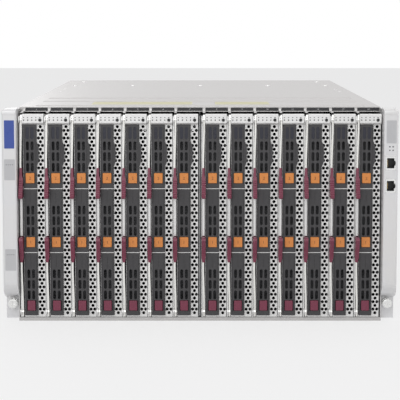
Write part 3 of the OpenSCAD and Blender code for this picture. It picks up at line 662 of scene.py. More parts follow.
def solids_of(node: str) -> list[Solid]:
    """Splits a copy of a CAD node's mesh into its closed solids.

    Args:
        node: The node's name.

    Returns:
        Its solids, from the lowest up.
    """
    bm = bmesh.new()
    bm.from_mesh(frame["nodes"][node].data)
    bmesh.ops.remove_doubles(bm, verts=bm.verts, dist=1e-6)
    bmesh.ops.dissolve_limit(bm, angle_limit=math.radians(0.6), verts=bm.verts, edges=bm.edges)
    bm.verts.index_update()
    found, seen = [], set()
    for start in bm.verts:
        if start.index in seen:
            continue
        group, todo = set(), [start]
        seen.add(start.index)
        while todo:
            vert = todo.pop()
            group.add(vert.index)
            for edge in vert.link_edges:
                other = edge.other_vert(vert)
                if other.index not in seen:
                    seen.add(other.index)
                    todo.append(other)
        bm.verts.ensure_lookup_table()
        faces = {face for i in group for face in bm.verts[i].link_faces}
        if faces:
            rings = [tuple(v.index for v in face.verts) for face in faces]
            found.append(Solid(sorted(rings), {i: bm.verts[i].co / MM for i in sorted(group)}))
    bm.free()
    return sorted(found, key=lambda solid: solid.middle.z)


class Form:
    """A mesh that is put together in millimetres from solids, outlines, lathed profiles and digits."""

    def __init__(self, *finishes: Finish) -> None:
        """Starts an empty form.

        Args:
            finishes: Its finishes. The first is the one in use.
        """
        self.bm = bmesh.new()
        self.finishes = list(finishes)
        self.current = 0

    def use(self, finish: Finish) -> Form:
        """Makes what follows in another finish.

        Args:
            finish: The finish.

        Returns:
            The form itself.
        """
        if finish not in self.finishes:
            self.finishes.append(finish)
        self.current = self.finishes.index(finish)
        return self

    def own(self, faces: Sequence[bmesh.types.BMFace]) -> Form:
        """Gives new faces the finish in use.

        Args:
            faces: The new faces.

        Returns:
            The form itself.
        """
        for face in faces:
            face.material_index = self.current
        return self

    def solid(self, *solids: Solid) -> Form:
        """Adds CAD solids.

        Args:
            solids: The solids.

        Returns:
            The form itself.
        """
        for solid in solids:
            verts = {i: self.bm.verts.new(p) for i, p in solid.points.items()}
            self.own([self.bm.faces.new([verts[i] for i in ring]) for ring in solid.faces])
        return self

    def prism(self, outline: Sequence[Point], axis: Axis, low: float, high: float, taper: float = 0.0) -> Form:
        """Draws an outline out along an axis.

        Args:
            outline: The outline.
            axis: The axis.
            low: Where it starts.
            high: Where it ends.
            taper: How far the start's outline is drawn in.

        Returns:
            The form itself.
        """
        cx = sum(p[0] for p in outline) / len(outline)
        cy = sum(p[1] for p in outline) / len(outline)
        near = [(a - math.copysign(min(taper, abs(a - cx)), a - cx), b - math.copysign(min(taper, abs(b - cy)), b - cy)) for a, b in outline]
        rows = [[self.bm.verts.new(axis.point(a, b, t)) for a, b in ring] for ring, t in ((near, low), (outline, high))]
        faces = [self.bm.faces.new(rows[0]), self.bm.faces.new(rows[1][::-1])]
        for i, j in zip(range(len(outline)), [*range(1, len(outline)), 0]):
            faces.append(self.bm.faces.new((rows[0][i], rows[1][i], rows[1][j], rows[0][j])))
        return self.own(faces)

    def block(self, low: Sequence[float], high: Sequence[float]) -> Form:
        """Adds a small block between two corners, for marks and pins.

        Args:
            low: The lowest corner.
            high: The highest corner.

        Returns:
            The form itself.
        """
        outline = [(low[0], low[1]), (high[0], low[1]), (high[0], high[1]), (low[0], high[1])]
        return self.prism(outline, Axis.Z, low[2], high[2])

    def lathe(self, profile: Sequence[Point], axis: Axis, centre: Point, count: int = 24) -> Form:
        """Turns a profile about an axis.

        Args:
            profile: Radius and place on the axis, from end to end.
            axis: The axis.
            centre: Where the axis stands in its outline plane.
            count: How many sides it has.

        Returns:
            The form itself.
        """
        rows = [
            [self.bm.verts.new(axis.point(a, b, along)) for a, b in circle(*centre, radius, count)]
            if radius > 0
            else [self.bm.verts.new(axis.point(*centre, along))]
            for radius, along in profile
        ]
        faces = []
        for one, two in zip(rows, rows[1:]):
            for i, j in zip(range(count), [*range(1, count), 0]):
                ring = (one[i % len(one)], one[j % len(one)], two[j % len(two)], two[i % len(two)])
                faces.append(self.bm.faces.new(list(dict.fromkeys(ring))))
        for row in (rows[0], rows[-1]):
            if len(row) > 1:
                faces.append(self.bm.faces.new(row))
        return self.own(faces)

    def digits(self, words: str, height: float, x: float, y: float, z: float, depth: float = 0.05) -> Form:
        """Adds digits that face the front.

        Args:
            words: The digits.
            height: Their height.
            x: Their middle.
            y: Their front.
            z: Their middle.
            depth: Their thickness.

        Returns:
            The form itself.
        """
        curve = bpy.data.curves.new("digits", "FONT")
        curve.body, curve.size, curve.extrude, curve.resolution_u = words, height * 1.4, depth / 2, 2
        curve.align_x = "CENTER"
        carrier = bpy.data.objects.new("digits", curve)
        mesh = bpy.data.meshes.new_from_object(carrier)
        place = Matrix.Translation((x, y + depth / 2, z - height * 0.49)) @ Matrix.Rotation(math.pi / 2, 4, "X")
        mesh.transform(place)
        before = set(self.bm.faces)
        self.bm.from_mesh(mesh)
        self.own([face for face in self.bm.faces if face not in before])
        bpy.data.objects.remove(carrier)
        bpy.data.curves.remove(curve)
        bpy.data.meshes.remove(mesh)
        return self

    def paint(self, finish: Finish, chosen: Callable[[Vector, Vector], bool]) -> Form:
        """Gives some faces another finish.

        Args:
            finish: The finish.
            chosen: Says, from a face's middle and normal, if it is one of them.

        Returns:
            The form itself.
        """
        self.use(finish)
        self.bm.normal_update()
        faces = [face for face in self.bm.faces if chosen(face.calc_center_median(), face.normal)]
        return self.own(faces)

    def bevel(self, width: float, segments: int = 2, angle: float = 35.0) -> Form:
        """Rounds the edges a little.

        Args:
            width: The width of the rounding.
            segments: How many faces it has.
            angle: The least angle of an edge that is rounded, in degrees.

        Returns:
            The form itself.
        """
        self.bm.normal_update()
        edges = [e for e in self.bm.edges if e.is_manifold and e.calc_face_angle(0.0) > math.radians(angle)]
        bmesh.ops.bevel(
            self.bm, geom=edges, offset=width, offset_type="OFFSET", segments=segments, profile=0.5,
            affect="EDGES", clamp_overlap=True, material=-1,
        )
        return self

    def mesh(self, name: str, smooth: float = 32.0) -> bpy.types.Mesh:
        """Turns the form into a mesh in metres.

        Args:
            name: The mesh's name.
            smooth: Edges below this angle, in degrees, look smooth.

        Returns:
            The mesh.
        """
        bmesh.ops.recalc_face_normals(self.bm, faces=self.bm.faces)
        mesh = bpy.data.meshes.new(name)
        self.bm.to_mesh(mesh)
        self.bm.free()
        mesh.transform(Matrix.Scale(MM, 4))
        for finish in self.finishes:
            mesh.materials.append(finish.material())
        mesh.polygons.foreach_set("use_smooth", [True] * len(mesh.polygons))
        mesh.set_sharp_from_angle(angle=math.radians(smooth))
        return mesh


def add_piece(name: str, mesh: bpy.types.Mesh, body: str, slot: str, *nodes: str) -> bpy.types.Object:
    """Puts a piece in the scene and ties it to its body.

    Args:
        name: The piece's name.
        mesh: Its mesh.
        body: The body it rides on.
        slot: The record's material slot. Not used.
        nodes: The CAD nodes that it stands for.

    Returns:
        The piece.
    """
    piece = bpy.data.objects.new(name, mesh)
    bpy.context.scene.collection.objects.link(piece)
    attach(piece, body)
    if nodes:
        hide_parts(*nodes)
    weigh = piece.modifiers.new("even_shading", "WEIGHTED_NORMAL")
    weigh.keep_sharp = True
    log.info("%s: %d faces on %s", name, len(mesh.polygons), body)
    return piece


def dress(node: str, finish: Finish) -> None:
    """Gives a CAD node that keeps its own mesh a finish.

    Args:
        node: The node's name.
        finish: The finish.
    """
    slots = frame["nodes"][node].material_slots
    for slot in slots:
        slot.material = finish.material()
    log.info("%s: kept, in %s", node, finish.name)


def box_of(node: str) -> tuple[Vector, Vector]:
    """Gives a CAD node's box.

    Args:
        node: The node's name.

    Returns:
        Its lowest and highest corner, in millimetres.
    """
    low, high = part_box(node)
    return Vector(low) / MM, Vector(high) / MM


def body_of(node: str) -> str:
    """Gives the body that a CAD node rides on."""
    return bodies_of(frame["nodes"][node])[0]


# ---------- Studio ----------
@dataclass
class Studio:
    """The pale floor, the white surround, the soft lamps and the camera, in metres and degrees."""

    eye: tuple[float, float, float] = (0.0, -2.432, 0.380)
    pitch: float = 6.5
    lens: float = 147.7
    floor_reach: float = 9.0
    ambient: Colour = (0.3, 0.3, 0.31)

    def build(self) -> None:
        """Builds the whole studio."""
        self.floor()
        self.surround()
        self.lamp("front_lamp", (-0.6, -3.0, 1.5), (0.0, -0.4, 0.12), 2.2, 30.0)
        self.lamp("top_lamp", (0.3, 0.1, 2.4), (0.0, 0.0, 0.2), 2.4, 12.0)
        self.lamp("side_lamp", (2.6, -0.6, 1.0), (0.0, 0.0, 0.15), 1.6, 8.0)
        self.lamp("back_lamp", (-1.2, 2.8, 1.3), (0.0, 0.3, 0.15), 1.6, 8.0)
        self.camera()

    def floor(self) -> None:
        """Lays the floor, which shows white and keeps the object's shadow."""
        reach = self.floor_reach / MM
        graph = Graph("floor_paper")
        grain = graph.noise(0.02, 3.0)
        graph.finish(Base_Color=graph.toned((0.86, 0.86, 0.86), 1.0 + grain * 0.02), Roughness=0.8)
        white = graph.node("ShaderNodeEmission", {}, {"Color": (1.0, 1.0, 1.0), "Strength": 1.0})
        lit = Socket(graph, graph.shader.outputs[0])
        graph.surface(graph.node("ShaderNodeMixShader", {}, {0: graph.seen() * 0.72, 1: lit, 2: white}))
        bm = bmesh.new()
        corners = ((-reach, -reach), (reach, -reach), (reach, reach), (-reach, reach))
        bm.faces.new([bm.verts.new((x * MM, y * MM, -0.1 * MM)) for x, y in corners])
        mesh = bpy.data.meshes.new("floor")
        bm.to_mesh(mesh)
        bm.free()
        mesh.materials.append(graph.material)
        floor = bpy.data.objects.new("floor", mesh)
        bpy.context.scene.collection.objects.link(floor)

    def surround(self) -> None:
        """Makes the world white to the camera and in gloss, and soft grey as a light."""
        world = bpy.data.worlds.new("surround")
        world.use_nodes = True
        bpy.context.scene.world = world
        graph = Graph("surround", world.node_tree)
        background = world.node_tree.nodes["Background"]
        graph.feed(background.inputs["Color"], graph.mix(graph.seen(), self.ambient, (1.0, 1.0, 1.0)))

    def lamp(self, name: str, place: Colour, target: Colour, size: float, watts: float) -> None:
        """Hangs a square soft lamp.

        Args:
            name: Its name.
            place: Where it hangs.
            target: What it points at.
            size: Its side.
            watts: Its power.
        """
        light = bpy.data.lights.new(name, "AREA")
        light.size, light.energy = size, watts
        lamp = bpy.data.objects.new(name, light)
        lamp.location = place
        lamp.rotation_euler = (Vector(target) - Vector(place)).to_track_quat("-Z", "Y").to_euler()
        bpy.context.scene.collection.objects.link(lamp)

    def camera(self) -> None:
        """Sets up the camera."""
        data = bpy.data.cameras.new("camera")
        data.lens, data.sensor_width, data.clip_end = self.lens, 36.0, 50.0
        camera = bpy.data.objects.new("camera", data)
        camera.location = self.eye
        camera.rotation_euler = (math.radians(90.0 - self.pitch), 0.0, 0.0)
        bpy.context.scene.collection.objects.link(camera)
        bpy.context.scene.camera = camera
        bpy.context.scene.view_settings.view_transform = "Standard"


# ---------- Enclosure ----------
@dataclass
class Enclosure:
    """The riveted enclosure, its printed slot numbers, the bright tabs over the levers and the centre post."""

    blades: int = 14
    plate: float = 1.3
    bar_height: float = 7.0
    tab_place: float = 3.2
    tab_width: float = 3.0
    film_gap: float = 0.6
    film_low: float = 1.0
    film_height: float = 4.1
    number_height: float = 2.1

    def build(self) -> None:
        """Dresses the steel and adds what is on it."""
        dress("enclosure", Paint.ENCLOSURE)
        self.label_strip()
        self.tabs()
        self.post()

    @property
    def tab_x(self) -> list[float]:
        """Where the tabs stand, over the levers' hinges."""
        return [box_of(f"blade_{n:02d}")[0].x + self.tab_place for n in range(1, self.blades + 1)]

    def front(self) -> tuple[float, float]:
        """Gives the header bar's front face and its lower edge, from the cover behind it."""
        low, high = box_of("front_cover")
        return low.y - self.plate, high.z - self.bar_height

    def label_strip(self) -> None:
        """Lays the dark film with the slots' numbers, one length between two tabs."""
        y, z = self.front()
        _, high = box_of("enclosure")
        form = Form(Paint.STRIP)
        ends = [*self.tab_x, high.x - 1.2]
        for number, (one, two) in enumerate(zip(ends, ends[1:]), 1):
            middle, length = (one + two) / 2, two - one - self.tab_width - self.film_gap
            if number == self.blades:
                middle, length = middle + self.tab_width / 4, length + self.tab_width / 2
            height = z + self.film_low + self.film_height / 2
            form.use(Paint.STRIP).prism(rounded(middle, height, length, self.film_height, 0.3, 2), Axis.Y, y - 0.12, y + 0.3)
            form.use(Paint.WHITE_INK).digits(str(number), self.number_height, middle, y - 0.16, height)
        add_piece("slot_label_film", form.mesh("slot_label_film"), body_of("enclosure"), "label_strip")

    def tabs(self) -> None:
        """Puts the bright folded faces on the tabs, and the ends of the catch fingers."""
        y, z = self.front()
        form = Form(Paint.CAP)
        for x in self.tab_x:
            outline = rounded(x, z + 2.2, self.tab_width - 0.1, 2.9, 0.25, 2)
            form.prism(outline, Axis.Y, y - 1.35, y - 0.9, 0.12)
        add_piece("tab_faces", form.mesh("tab_faces"), body_of("enclosure"), "bright_steel")

    def post(self) -> None:
        """Keeps the post's shape, with the thin light line in its groove."""
        dress("centre_post", Paint.DARK_STEEL)
        low, high = box_of("centre_post")
        x = (low.x + high.x) / 2
        form = Form(Paint.MODULE)
        form.prism(rounded(x, low.y + 0.45, 0.56, 0.4, 0.1, 2), Axis.Z, low.z + 5, high.z - 4.0)
        add_piece("post_seam", form.mesh("post_seam"), body_of("centre_post"), "enclosure_steel")


@dataclass
class TopCovers:
    """The two top covers, their bright screws and rivets, and two bare paper labels."""

    edge: float = 0.45
    label_depth: tuple[float, float] = (-336.0, -276.0)
    label_spans: tuple[tuple[float, float], ...] = ((-138.7, -10.0), (19.4, 89.0))

    def build(self) -> None:
        """Builds both covers and the labels."""
        for node in ("front_cover", "rear_cover"):
            _, high = box_of(node)
            form = Form(Paint.COVER).solid(*solids_of(node)).bevel(self.edge, 3)
            sheet = high.z - 1.0
            form.paint(Paint.SCREW, lambda c, n: c.z > sheet + 0.1 and self.is_head(c, node))
            add_piece(f"{node}_sheet", form.mesh(node), body_of(node), "cover_steel", node)
        self.labels()

    def is_head(self, centre: Vector, node: str) -> bool:
        """Tells a screw's or rivet's face from a bead's, which spans the cover's width.

        Args:
            centre: The face's middle.
            node: The cover's node.

        Returns:
            Whether it belongs to a head.
        """
        low, high = box_of(node)
        return node == "rear_cover" or centre.y > (low.y + high.y) / 2

    def labels(self) -> None:
        """Lays the bare labels on the front cover."""
        _, high = box_of("front_cover")
        z = high.z - 1.0
        form = Form(Paint.PAPER)
        y0, y1 = self.label_depth
        for x0, x1 in self.label_spans:
            form.prism(rounded((x0 + x1) / 2, (y0 + y1) / 2, x1 - x0, y1 - y0, 1.5, 4), Axis.Z, z - 0.05, z + 0.12)
        add_piece("cover_labels", form.mesh("cover_labels"), body_of("front_cover"), "label_strip")


# ---------- Ears ----------
@dataclass
class RackEar:
    """A rack ear: the bracket, its lacquered cover, and what is printed or fitted on it."""

    side: str
    badge: tuple[float, float, float, float] = (-232.0, 233.4, 12.4, 34.6)
    panels: tuple[tuple[float, float, float], ...] = ((190.3, 25.5, 196.4), (79.3, 26.5, 85.8))
    overlay: tuple[float, float, float] = (228.5, 44.0, 12.2)
    lights_z: float = 214.0
    icons_z: float = 218.4

    def build(self) -> None:
        """Builds the ear."""
        node = f"{self.side}_ear"
        body = body_of(node)
        solids = solids_of(node)
        bracket = next(s for s in solids if s.size.z > 200 and s.high.y > -400)
        cover = next(s for s in solids if s.size.z > 200 and s is not bracket)
        form = Form(Paint.EAR).solid(bracket).bevel(0.3)
        add_piece(f"{node}_bracket", form.mesh(f"{node}_bracket"), body, "ear_silver", node)
        form = Form(Paint.EAR).solid(cover).bevel(0.35, 3, 40.0)
        add_piece(f"{node}_cover", form.mesh(f"{node}_cover", 50.0), body, "ear_silver", node)
        if self.side == "left":
            self.left_marks(cover, body)
        else:
            self.right_marks(cover, body)
            self.jacks([s for s in solids if s.size.z < 50], body, node)

    def left_marks(self, cover: Solid, body: str) -> None:
        """Puts the bare badge and the two grey panels on the left ear.

        Args:
            cover: The ear's cover.
            body: The ear's body.
        """
        y = cover.low.y
        x, z, width, height = self.badge
        form = Form(Paint.BADGE).prism(rounded(x, z, width, height, 0.8, 4), Axis.Y, y - 0.35, y + 0.3, 0.15)
        add_piece("bare_badge", form.mesh("bare_badge"), body, "badge_blue")
        form = Form(Paint.PANEL)
        for middle, height, dots in self.panels:
            form.use(Paint.PANEL).prism(rounded(x, middle, 13.2, height, 0.7, 3), Axis.Y, y - 0.14, y + 0.3)
            form.use(Paint.GREY_INK)
            for k in range(4):
                form.prism(circle(x - 3.9 + 2.6 * k, dots, 0.55, 10), Axis.Y, y - 0.2, y)
        add_piece("ear_panels", form.mesh("ear_panels"), body, "panel_grey")

    def right_marks(self, cover: Solid, body: str) -> None:
        """Puts the overlay, the two status lights and their small icons on the right ear.

        Args:
            cover: The ear's cover.
            body: The ear's body.
        """
        y = cover.low.y
        x = cover.low.x + cover.size.x / 2 + 0.6
        form = Form(Paint.PANEL)
        middle, height, width = self.overlay
        form.prism(rounded(x, middle + 8.0, width, height - 16.0, 1.0, 4), Axis.Y, y - 0.12, y + 0.3)
        form.use(Paint.GREY_INK)
        for s in (-1, 1):
            form.prism(rounded(x + 2.0 * s, self.icons_z, 1.9, 1.5, 0.3, 2), Axis.Y, y - 0.16, y)
        add_piece("ear_overlay", form.mesh("ear_overlay"), body, "panel_grey")
        form = Form(Paint.DARK_LENS)
        for s in (-1, 1):
            form.lathe(((0.0, y - 0.5), (0.5, y - 0.42), (0.8, y - 0.1), (0.8, y + 0.4)), Axis.Y, (x + 2.0 * s, self.lights_z), 16)
        add_piece("ear_lights", form.mesh("ear_lights"), body, "status_light")

    def jacks(self, shells: list[Solid], body: str, node: str) -> None:
        """Builds the two network jacks with their contacts.

        Args:
            shells: The jacks' shells.
            body: The ear's body.
            node: The ear's node.
        """
        form = Form(Paint.SCREW).solid(*shells)
        form.paint(Paint.BLACK, lambda c, n: any(inside(c, s, 1.2) for s in shells))
        form.use(Paint.GOLD)
        for shell in shells:
            for k in range(8):
                z = shell.middle.z - 3.6 + k * 1.02
                form.block((shell.low.x + 2.4, shell.low.y + 1.5, z - 0.18), (shell.low.x + 3.0, shell.low.y + 13.0, z + 0.18))
        add_piece("ear_jacks", form.mesh("ear_jacks"), body, "bright_steel", node)


def inside(centre: Vector, shell: Solid, wall: float) -> bool:
    """Tells whether a face's middle lies in a socket rather than on its shell.

    Args:
        centre: The face's middle.
        shell: The shell.
        wall: The shell's wall.

    Returns:
        Whether it is a face of the socket.
    """
    return (
        shell.low.x + wall < centre.x < shell.high.x - 0.1
        and shell.low.y + 0.4 < centre.y < shell.high.y - 0.4
        and shell.low.z + wall < centre.z < shell.high.z - wall
    )


@dataclass
class Thumbscrew:
    """A captive thumbscrew in nickel-plated steel."""

    side: str

    def build(self) -> None:
        """Builds the screw."""
        node = f"{self.side}_thumbscrew"
        form = Form(Paint.SCREW).solid(*solids_of(node)).bevel(0.18, 2, 40.0)
        add_piece(f"{node}_head", form.mesh(node), body_of(node), "bright_steel", node)


# ---------- Blades ----------
class Part(Enum):
    """The kinds of solid in a blade, with the record's slot that each is painted from."""

    HOUSING = "blade_steel"
    CAP = "blade_steel "
    BOARD = "circuit_board"
    CARRIER = "carrier_plastic"
    DRIVE = "module_steel"
    RELEASE = "orange_plastic"
    POWER = "black_plastic"
    ARM = "lever_steel"
    GRIP = "maroon_plastic"


@dataclass
class BladePattern:
    """One blade's meshes, made once from its CAD solids and copied for every slot."""

    source: str = "blade_02"
    edge: float = 0.14
    cooler_reach: float = 3.7
    lip: float = 1.1
    solids: dict[Part, list[Solid]] = field(default_factory=dict)
    made: dict[tuple[Part, tuple[int, ...]], bpy.types.Mesh] = field(default_factory=dict)

    def __post_init__(self) -> None:
        """Sorts the solids of the blade and of its levers by kind."""
        for solid in solids_of(self.source):
            self.solids.setdefault(self.kind(solid), []).append(solid)
        for end in ("lower", "upper"):
            arm, grip = sorted(solids_of(f"{self.source}_{end}_lever"), key=lambda s: s.size.z, reverse=True)
            self.solids.setdefault(Part.ARM, []).append(arm)
            self.solids.setdefault(Part.GRIP, []).append(grip)

    @staticmethod
    def kind(solid: Solid) -> Part:
        """Tells what a solid is from its size.

        Args:
            solid: The solid.

        Returns:
            Its kind.
        """
        width, depth, _ = solid.size
        if depth > 400:
            return Part.HOUSING if width > 28 else Part.BOARD
        for least, part in ((128, Part.HOUSING), (120, Part.CARRIER), (90, Part.DRIVE)):
            if depth > least:
                return part
        if width > 20:
            return Part.CAP
        return Part.RELEASE if width > 5 else Part.POWER

    def mesh(self, part: Part, *places: int) -> bpy.types.Mesh:
        """Gives the mesh of some of a kind's solids.

        Args:
            part: The kind.
            places: Which of them, from the lowest up. None means all.

        Returns:
            The mesh, made once.
        """
        key = (part, places)
        if key not in self.made:
            solids = self.solids[part]
            chosen = [solids[k] for k in places] if places else solids
            maker: Callable[[list[Solid]], Form] = getattr(self, part.name.lower())
            self.made[key] = maker(chosen).mesh(f"pattern_{part.name.lower()}_{len(self.made)}")
        return self.made[key]

    def housing(self, solids: list[Solid]) -> Form:
        """Makes the riveted sheet parts, with painted shade in dark steel on the faces inside the grille's duct and the
        channel beside the carriers.
        """
        form = Form(Paint.BLADE)
        for solid in solids:
            form.solid(solid)
        low, low_x = min(s.low.y for s in solids), min(s.low.x for s in solids)
        duct = max((s for s in solids if s.size.z > 200), key=lambda s: s.low.x)
        # painted shade: the faces inside the duct behind the grille are dark steel, so that its holes read dark
        form.paint(
            Paint.DARK_STEEL,
            lambda c, n: duct.low.x + 0.2 < c.x < duct.high.x - 0.6 and low + 9.0 < c.y < low + 135.0 and abs(n.z) < 0.5,
        )
        # painted shade: the channel's walls beside the carriers, behind the front plate, are dark steel, so that the
        # gaps read black
        form.paint(Paint.DARK_STEEL, lambda c, n: c.x < duct.low.x - 16.0 and c.x > low_x + 1.2 and low + 8.8 < c.y < low + 130.0)
        return self.shelf_lips(form.use(Paint.BLADE))

    def shelf_lips(self, form: Form) -> Form:
        """Folds the shelves' bright front lips between the carriers.

        Args:
            form: The housing.

        Returns:
            The housing with its lips.
        """
        carriers = self.solids[Part.CARRIER]
        for below, above in zip(carriers, carriers[1:]):
            z = (below.high.z + above.low.z) / 2
            front = below.low
            form.prism(rounded(front.x + 8.0, z, 16.4, self.lip, 0.3, 2), Axis.Y, front.y + 0.1, front.y + 4.2, 0.15)
        return form

    def cap(self, solids: list[Solid]) -> Form:
        """Makes the cap with its four lights and the small marks over the power button."""
        cap, power = solids[0], self.solids[Part.POWER][0]
        y, z = cap.low.y, power.middle.z
        form = Form(Paint.CAP).solid(cap).bevel(0.22, 2, 50.0)
        carrier = self.solids[Part.CARRIER][0]
        for k in range(4):
            x = carrier.low.x + 1.2 + 5.0 * k
            form.use(Paint.DARK_LENS).lathe(((0.0, y + 0.1), (0.55, y + 0.3), (0.75, y + 0.9), (0.75, y + 1.3)), Axis.Y, (x, z), 12)
            form.use(Paint.GREY_INK).prism(rounded(x, z + 3.1, 1.5, 1.0, 0.2, 2), Axis.Y, y - 0.04, y + 0.1)
        x = power.middle.x
        form.prism(rounded(x, z + 3.1, 1.9, 1.1, 0.3, 2), Axis.Y, y - 0.04, y + 0.1)
        return form

    def board(self, solids: list[Solid]) -> Form:
        """Makes the board, with bare aluminium coolers and black connectors."""
        board = solids[0]
        form = Form(Paint.BOARD).solid(board)
        edge = board.low.x + self.cooler_reach
        form.paint(Paint.MODULE, lambda c, n: c.x > edge and c.y < board.high.y - 12)
        return form.paint(Paint.BLACK, lambda c, n: c.y > board.high.y - 12)

    def carrier(self, solids: list[Solid]) -> Form:
        """Makes the moulded bezels and rails, with smoky inlays in the recesses of the upper one."""
        front = solids[0].low.y
        form = Form(Paint.CARRIER).solid(*solids).bevel(self.edge, 2, 50.0)
        return form.paint(Paint.SMOKE, lambda c, n: n.y < -0.5 and 1.0 < c.y - front < 1.3)

    def drive(self, solids: list[Solid]) -> Form:
        """Makes the drives, with painted shade in dark steel on their front faces, so that the vents read black."""
        form = Form(Paint.MODULE).solid(*solids).bevel(0.4)
        # painted shade: every face towards the front is dark steel
        return form.paint(Paint.DARK_STEEL, lambda c, n: n.y < -0.5)

    def release(self, solids: list[Solid]) -> Form:
        """Makes the release buttons: numbered orange ones, and a maroon one on the lowest carrier."""
        every = self.solids[Part.RELEASE]
        form = Form()
        for solid in solids:
            rank = every.index(solid)
            form.use(Paint.ORANGE if rank else Paint.MAROON)
            form.solid(solid)
        form.bevel(0.3, 2, 50.0)
        for solid in solids:
            rank = every.index(solid)
            if rank:
                form.use(Paint.BROWN_INK).digits(str(rank), 3.6, solid.middle.x, solid.low.y - 0.04, solid.middle.z)
        return form

    def power(self, solids: list[Solid]) -> Form:
        """Makes the round power button."""
        return Form(Paint.BLACK).solid(*solids).bevel(0.25, 2, 50.0)

    def arm(self, solids: list[Solid]) -> Form:
        """Makes a lever's bright arm."""
        return Form(Paint.LEVER).solid(*solids).bevel(self.edge, 2, 50.0)

    def grip(self, solids: list[Solid]) -> Form:
        """Makes a lever's moulded grip."""
        return Form(Paint.MAROON).solid(*solids).bevel(0.3, 2, 50.0)


@dataclass
class Blade:
    """One blade in its slot, with its two levers."""

    number: int
    pattern: BladePattern
    service: bool = False

    @property
    def name(self) -> str:
        """The blade's node and body."""
        return f"blade_{self.number:02d}"

    def put(self, part: Part, places: tuple[int, ...], node: str, label: str) -> None:
        """Copies one of the pattern's meshes into this slot.

        Args:
            part: The kind.
            places: Which solids of that kind.
            node: The CAD node that it stands for, whose body it rides on.
            label: The end of the piece's name.
        """
        mesh = self.pattern.mesh(part, *places).copy()
        here, there = box_of(f"{self.name}_upper_lever")[0], box_of(f"{self.pattern.source}_upper_lever")[0]
        mesh.transform(Matrix.Translation(Vector((here.x - there.x, 0.0, 0.0)) * MM))
        add_piece(f"{self.name}_{label}", mesh, body_of(node), part.value.strip(), node)

    def build(self) -> None:
        """Builds the blade."""
        for part in (Part.HOUSING, Part.CAP, Part.BOARD):
            self.put(part, (), self.name, part.name.lower())
        if self.service:
            self.service_parts()
        else:
            for part in (Part.CARRIER, Part.DRIVE, Part.RELEASE, Part.POWER):
                self.put(part, (), self.name, f"{part.name.lower()}s")
        for k, end in enumerate(("lower", "upper")):
            node = f"{self.name}_{end}_lever"
            self.put(Part.ARM, (k,), node, f"{end}_arm")
            self.put(Part.GRIP, (k,), node, f"{end}_grip")

    def service_parts(self) -> None:
        """Puts the carriers, release buttons and power button on bodies of their own."""
        for k, place in enumerate(("lower", "middle", "upper")):
            carrier, button = f"{self.name}_{place}_carrier", f"{self.name}_{place}_release_button"
            self.put(Part.CARRIER, (k,), carrier, f"{place}_bezel")
            self.put(Part.DRIVE, (k,), carrier, f"{place}_drive")
            self.put(Part.RELEASE, (k,), button, f"{place}_release")
        self.put(Part.POWER, (), f"{self.name}_power_button", "power")


# ---------- Rear ----------
@dataclass
class Midplane:
    """The board across the enclosure, with its connectors."""

    connector_reach: float = 0.2

    def build(self) -> None:
        """Builds the midplane."""
        solid = max(solids_of("midplane"), key=lambda s: s.size.x)
        low, high = solid.low.y + 3.2, solid.high.y - 8.0
        form = Form(Paint.BOARD).solid(solid)
        form.paint(Paint.BLACK, lambda c, n: c.y < low - self.connector_reach or c.y > high + self.connector_reach)
        add_piece("midplane_board", form.mesh("midplane_board"), body_of("midplane"), "circuit_board", "midplane")


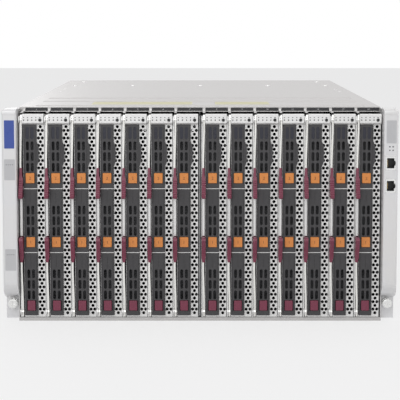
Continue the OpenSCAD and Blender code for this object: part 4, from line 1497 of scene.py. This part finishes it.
@dataclass
class RearModules:
    """The power supplies, switches and blanks at the back."""

    edge: float = 0.3

    def build(self) -> None:
        """Builds the modules by kind."""
        for node in ("power_supplies", "network_modules"):
            kinds: dict[str, list[Solid]] = {}
            for solid in solids_of(node):
                kinds.setdefault(self.kind(solid), []).append(solid)
            for kind, solids in kinds.items():
                form: Form = getattr(self, kind)(solids)
                slot = form.finishes[0].slot
                add_piece(f"{node}_{kind}", form.mesh(f"{node}_{kind}"), body_of(node), slot, node)

    @staticmethod
    def kind(solid: Solid) -> str:
        """Names what a solid is, from its size.

        Args:
            solid: The solid.

        Returns:
            The name of the method that makes it.
        """
        width, depth, height = solid.size
        if depth > 100:
            return "cases"
        if width > 45:
            return "fans"
        if height < 9 and depth > 20:
            return "tabs"
        if depth < 10:
            return "plugs"
        return "inlets" if width > 25 else "ports"

    def cases(self, solids: list[Solid]) -> Form:
        """Makes the sheet cases."""
        return Form(Paint.MODULE).solid(*solids)

    def fans(self, solids: list[Solid]) -> Form:
        """Makes the fans behind the finger guards."""
        return Form(Paint.BLACK).solid(*solids)

    def tabs(self, solids: list[Solid]) -> Form:
        """Makes the pull tabs."""
        return Form(Paint.DARK_STEEL).solid(*solids).bevel(self.edge)

    def inlets(self, solids: list[Solid]) -> Form:
        """Makes the power inlets with their three prongs."""
        form = Form(Paint.BLACK).solid(*solids).use(Paint.SCREW)
        for solid in solids:
            for dx, dz in ((-7.0, -3.0), (0.0, 3.0), (7.0, -3.0)):
                x, z = solid.middle.x + dx, solid.middle.z + dz
                y = solid.high.y - 18.6
                form.block((x - 1.0, y, z - 2.0), (x + 1.0, y + 12.0, z + 2.0))
        return form

    def ports(self, solids: list[Solid]) -> Form:
        """Makes the network ports with their contacts."""
        form = Form(Paint.SCREW).solid(*solids)
        form.paint(Paint.BLACK, lambda c, n: any(self.in_port(c, s) for s in solids))
        form.use(Paint.GOLD)
        for solid in solids:
            for k in range(8):
                x = solid.middle.x - 3.6 + k * 1.02
                form.block((x - 0.18, solid.high.y - 13.0, solid.high.z - 3.0), (x + 0.18, solid.high.y - 1.5, solid.high.z - 2.4))
        return form

    @staticmethod
    def in_port(centre: Vector, shell: Solid) -> bool:
        """Tells whether a face lies in a port's socket.

        Args:
            centre: The face's middle.
            shell: The port's shell.

        Returns:
            Whether it does.
        """
        return (
            abs(centre.x - shell.middle.x) < shell.size.x / 2 - 1.0
            and shell.low.y + 0.4 < centre.y < shell.high.y - 0.4
            and abs(centre.z - shell.middle.z) < shell.size.z / 2 - 0.1
        )

    def plugs(self, solids: list[Solid]) -> Form:
        """Makes the console plug."""
        return Form(Paint.SCREW).solid(*solids).bevel(0.2)


def main() -> None:
    """Builds the chassis."""
    logging.basicConfig(level=logging.INFO, format="%(name)s: %(message)s")
    Studio().build()
    Enclosure().build()
    TopCovers().build()
    for side in ("left", "right"):
        RackEar(side).build()
        Thumbscrew(side).build()
    Midplane().build()
    RearModules().build()
    pattern = BladePattern()
    for number in range(1, 15):
        Blade(number, pattern, service=number == 1).build()


if __name__ == "__main__":
    main()
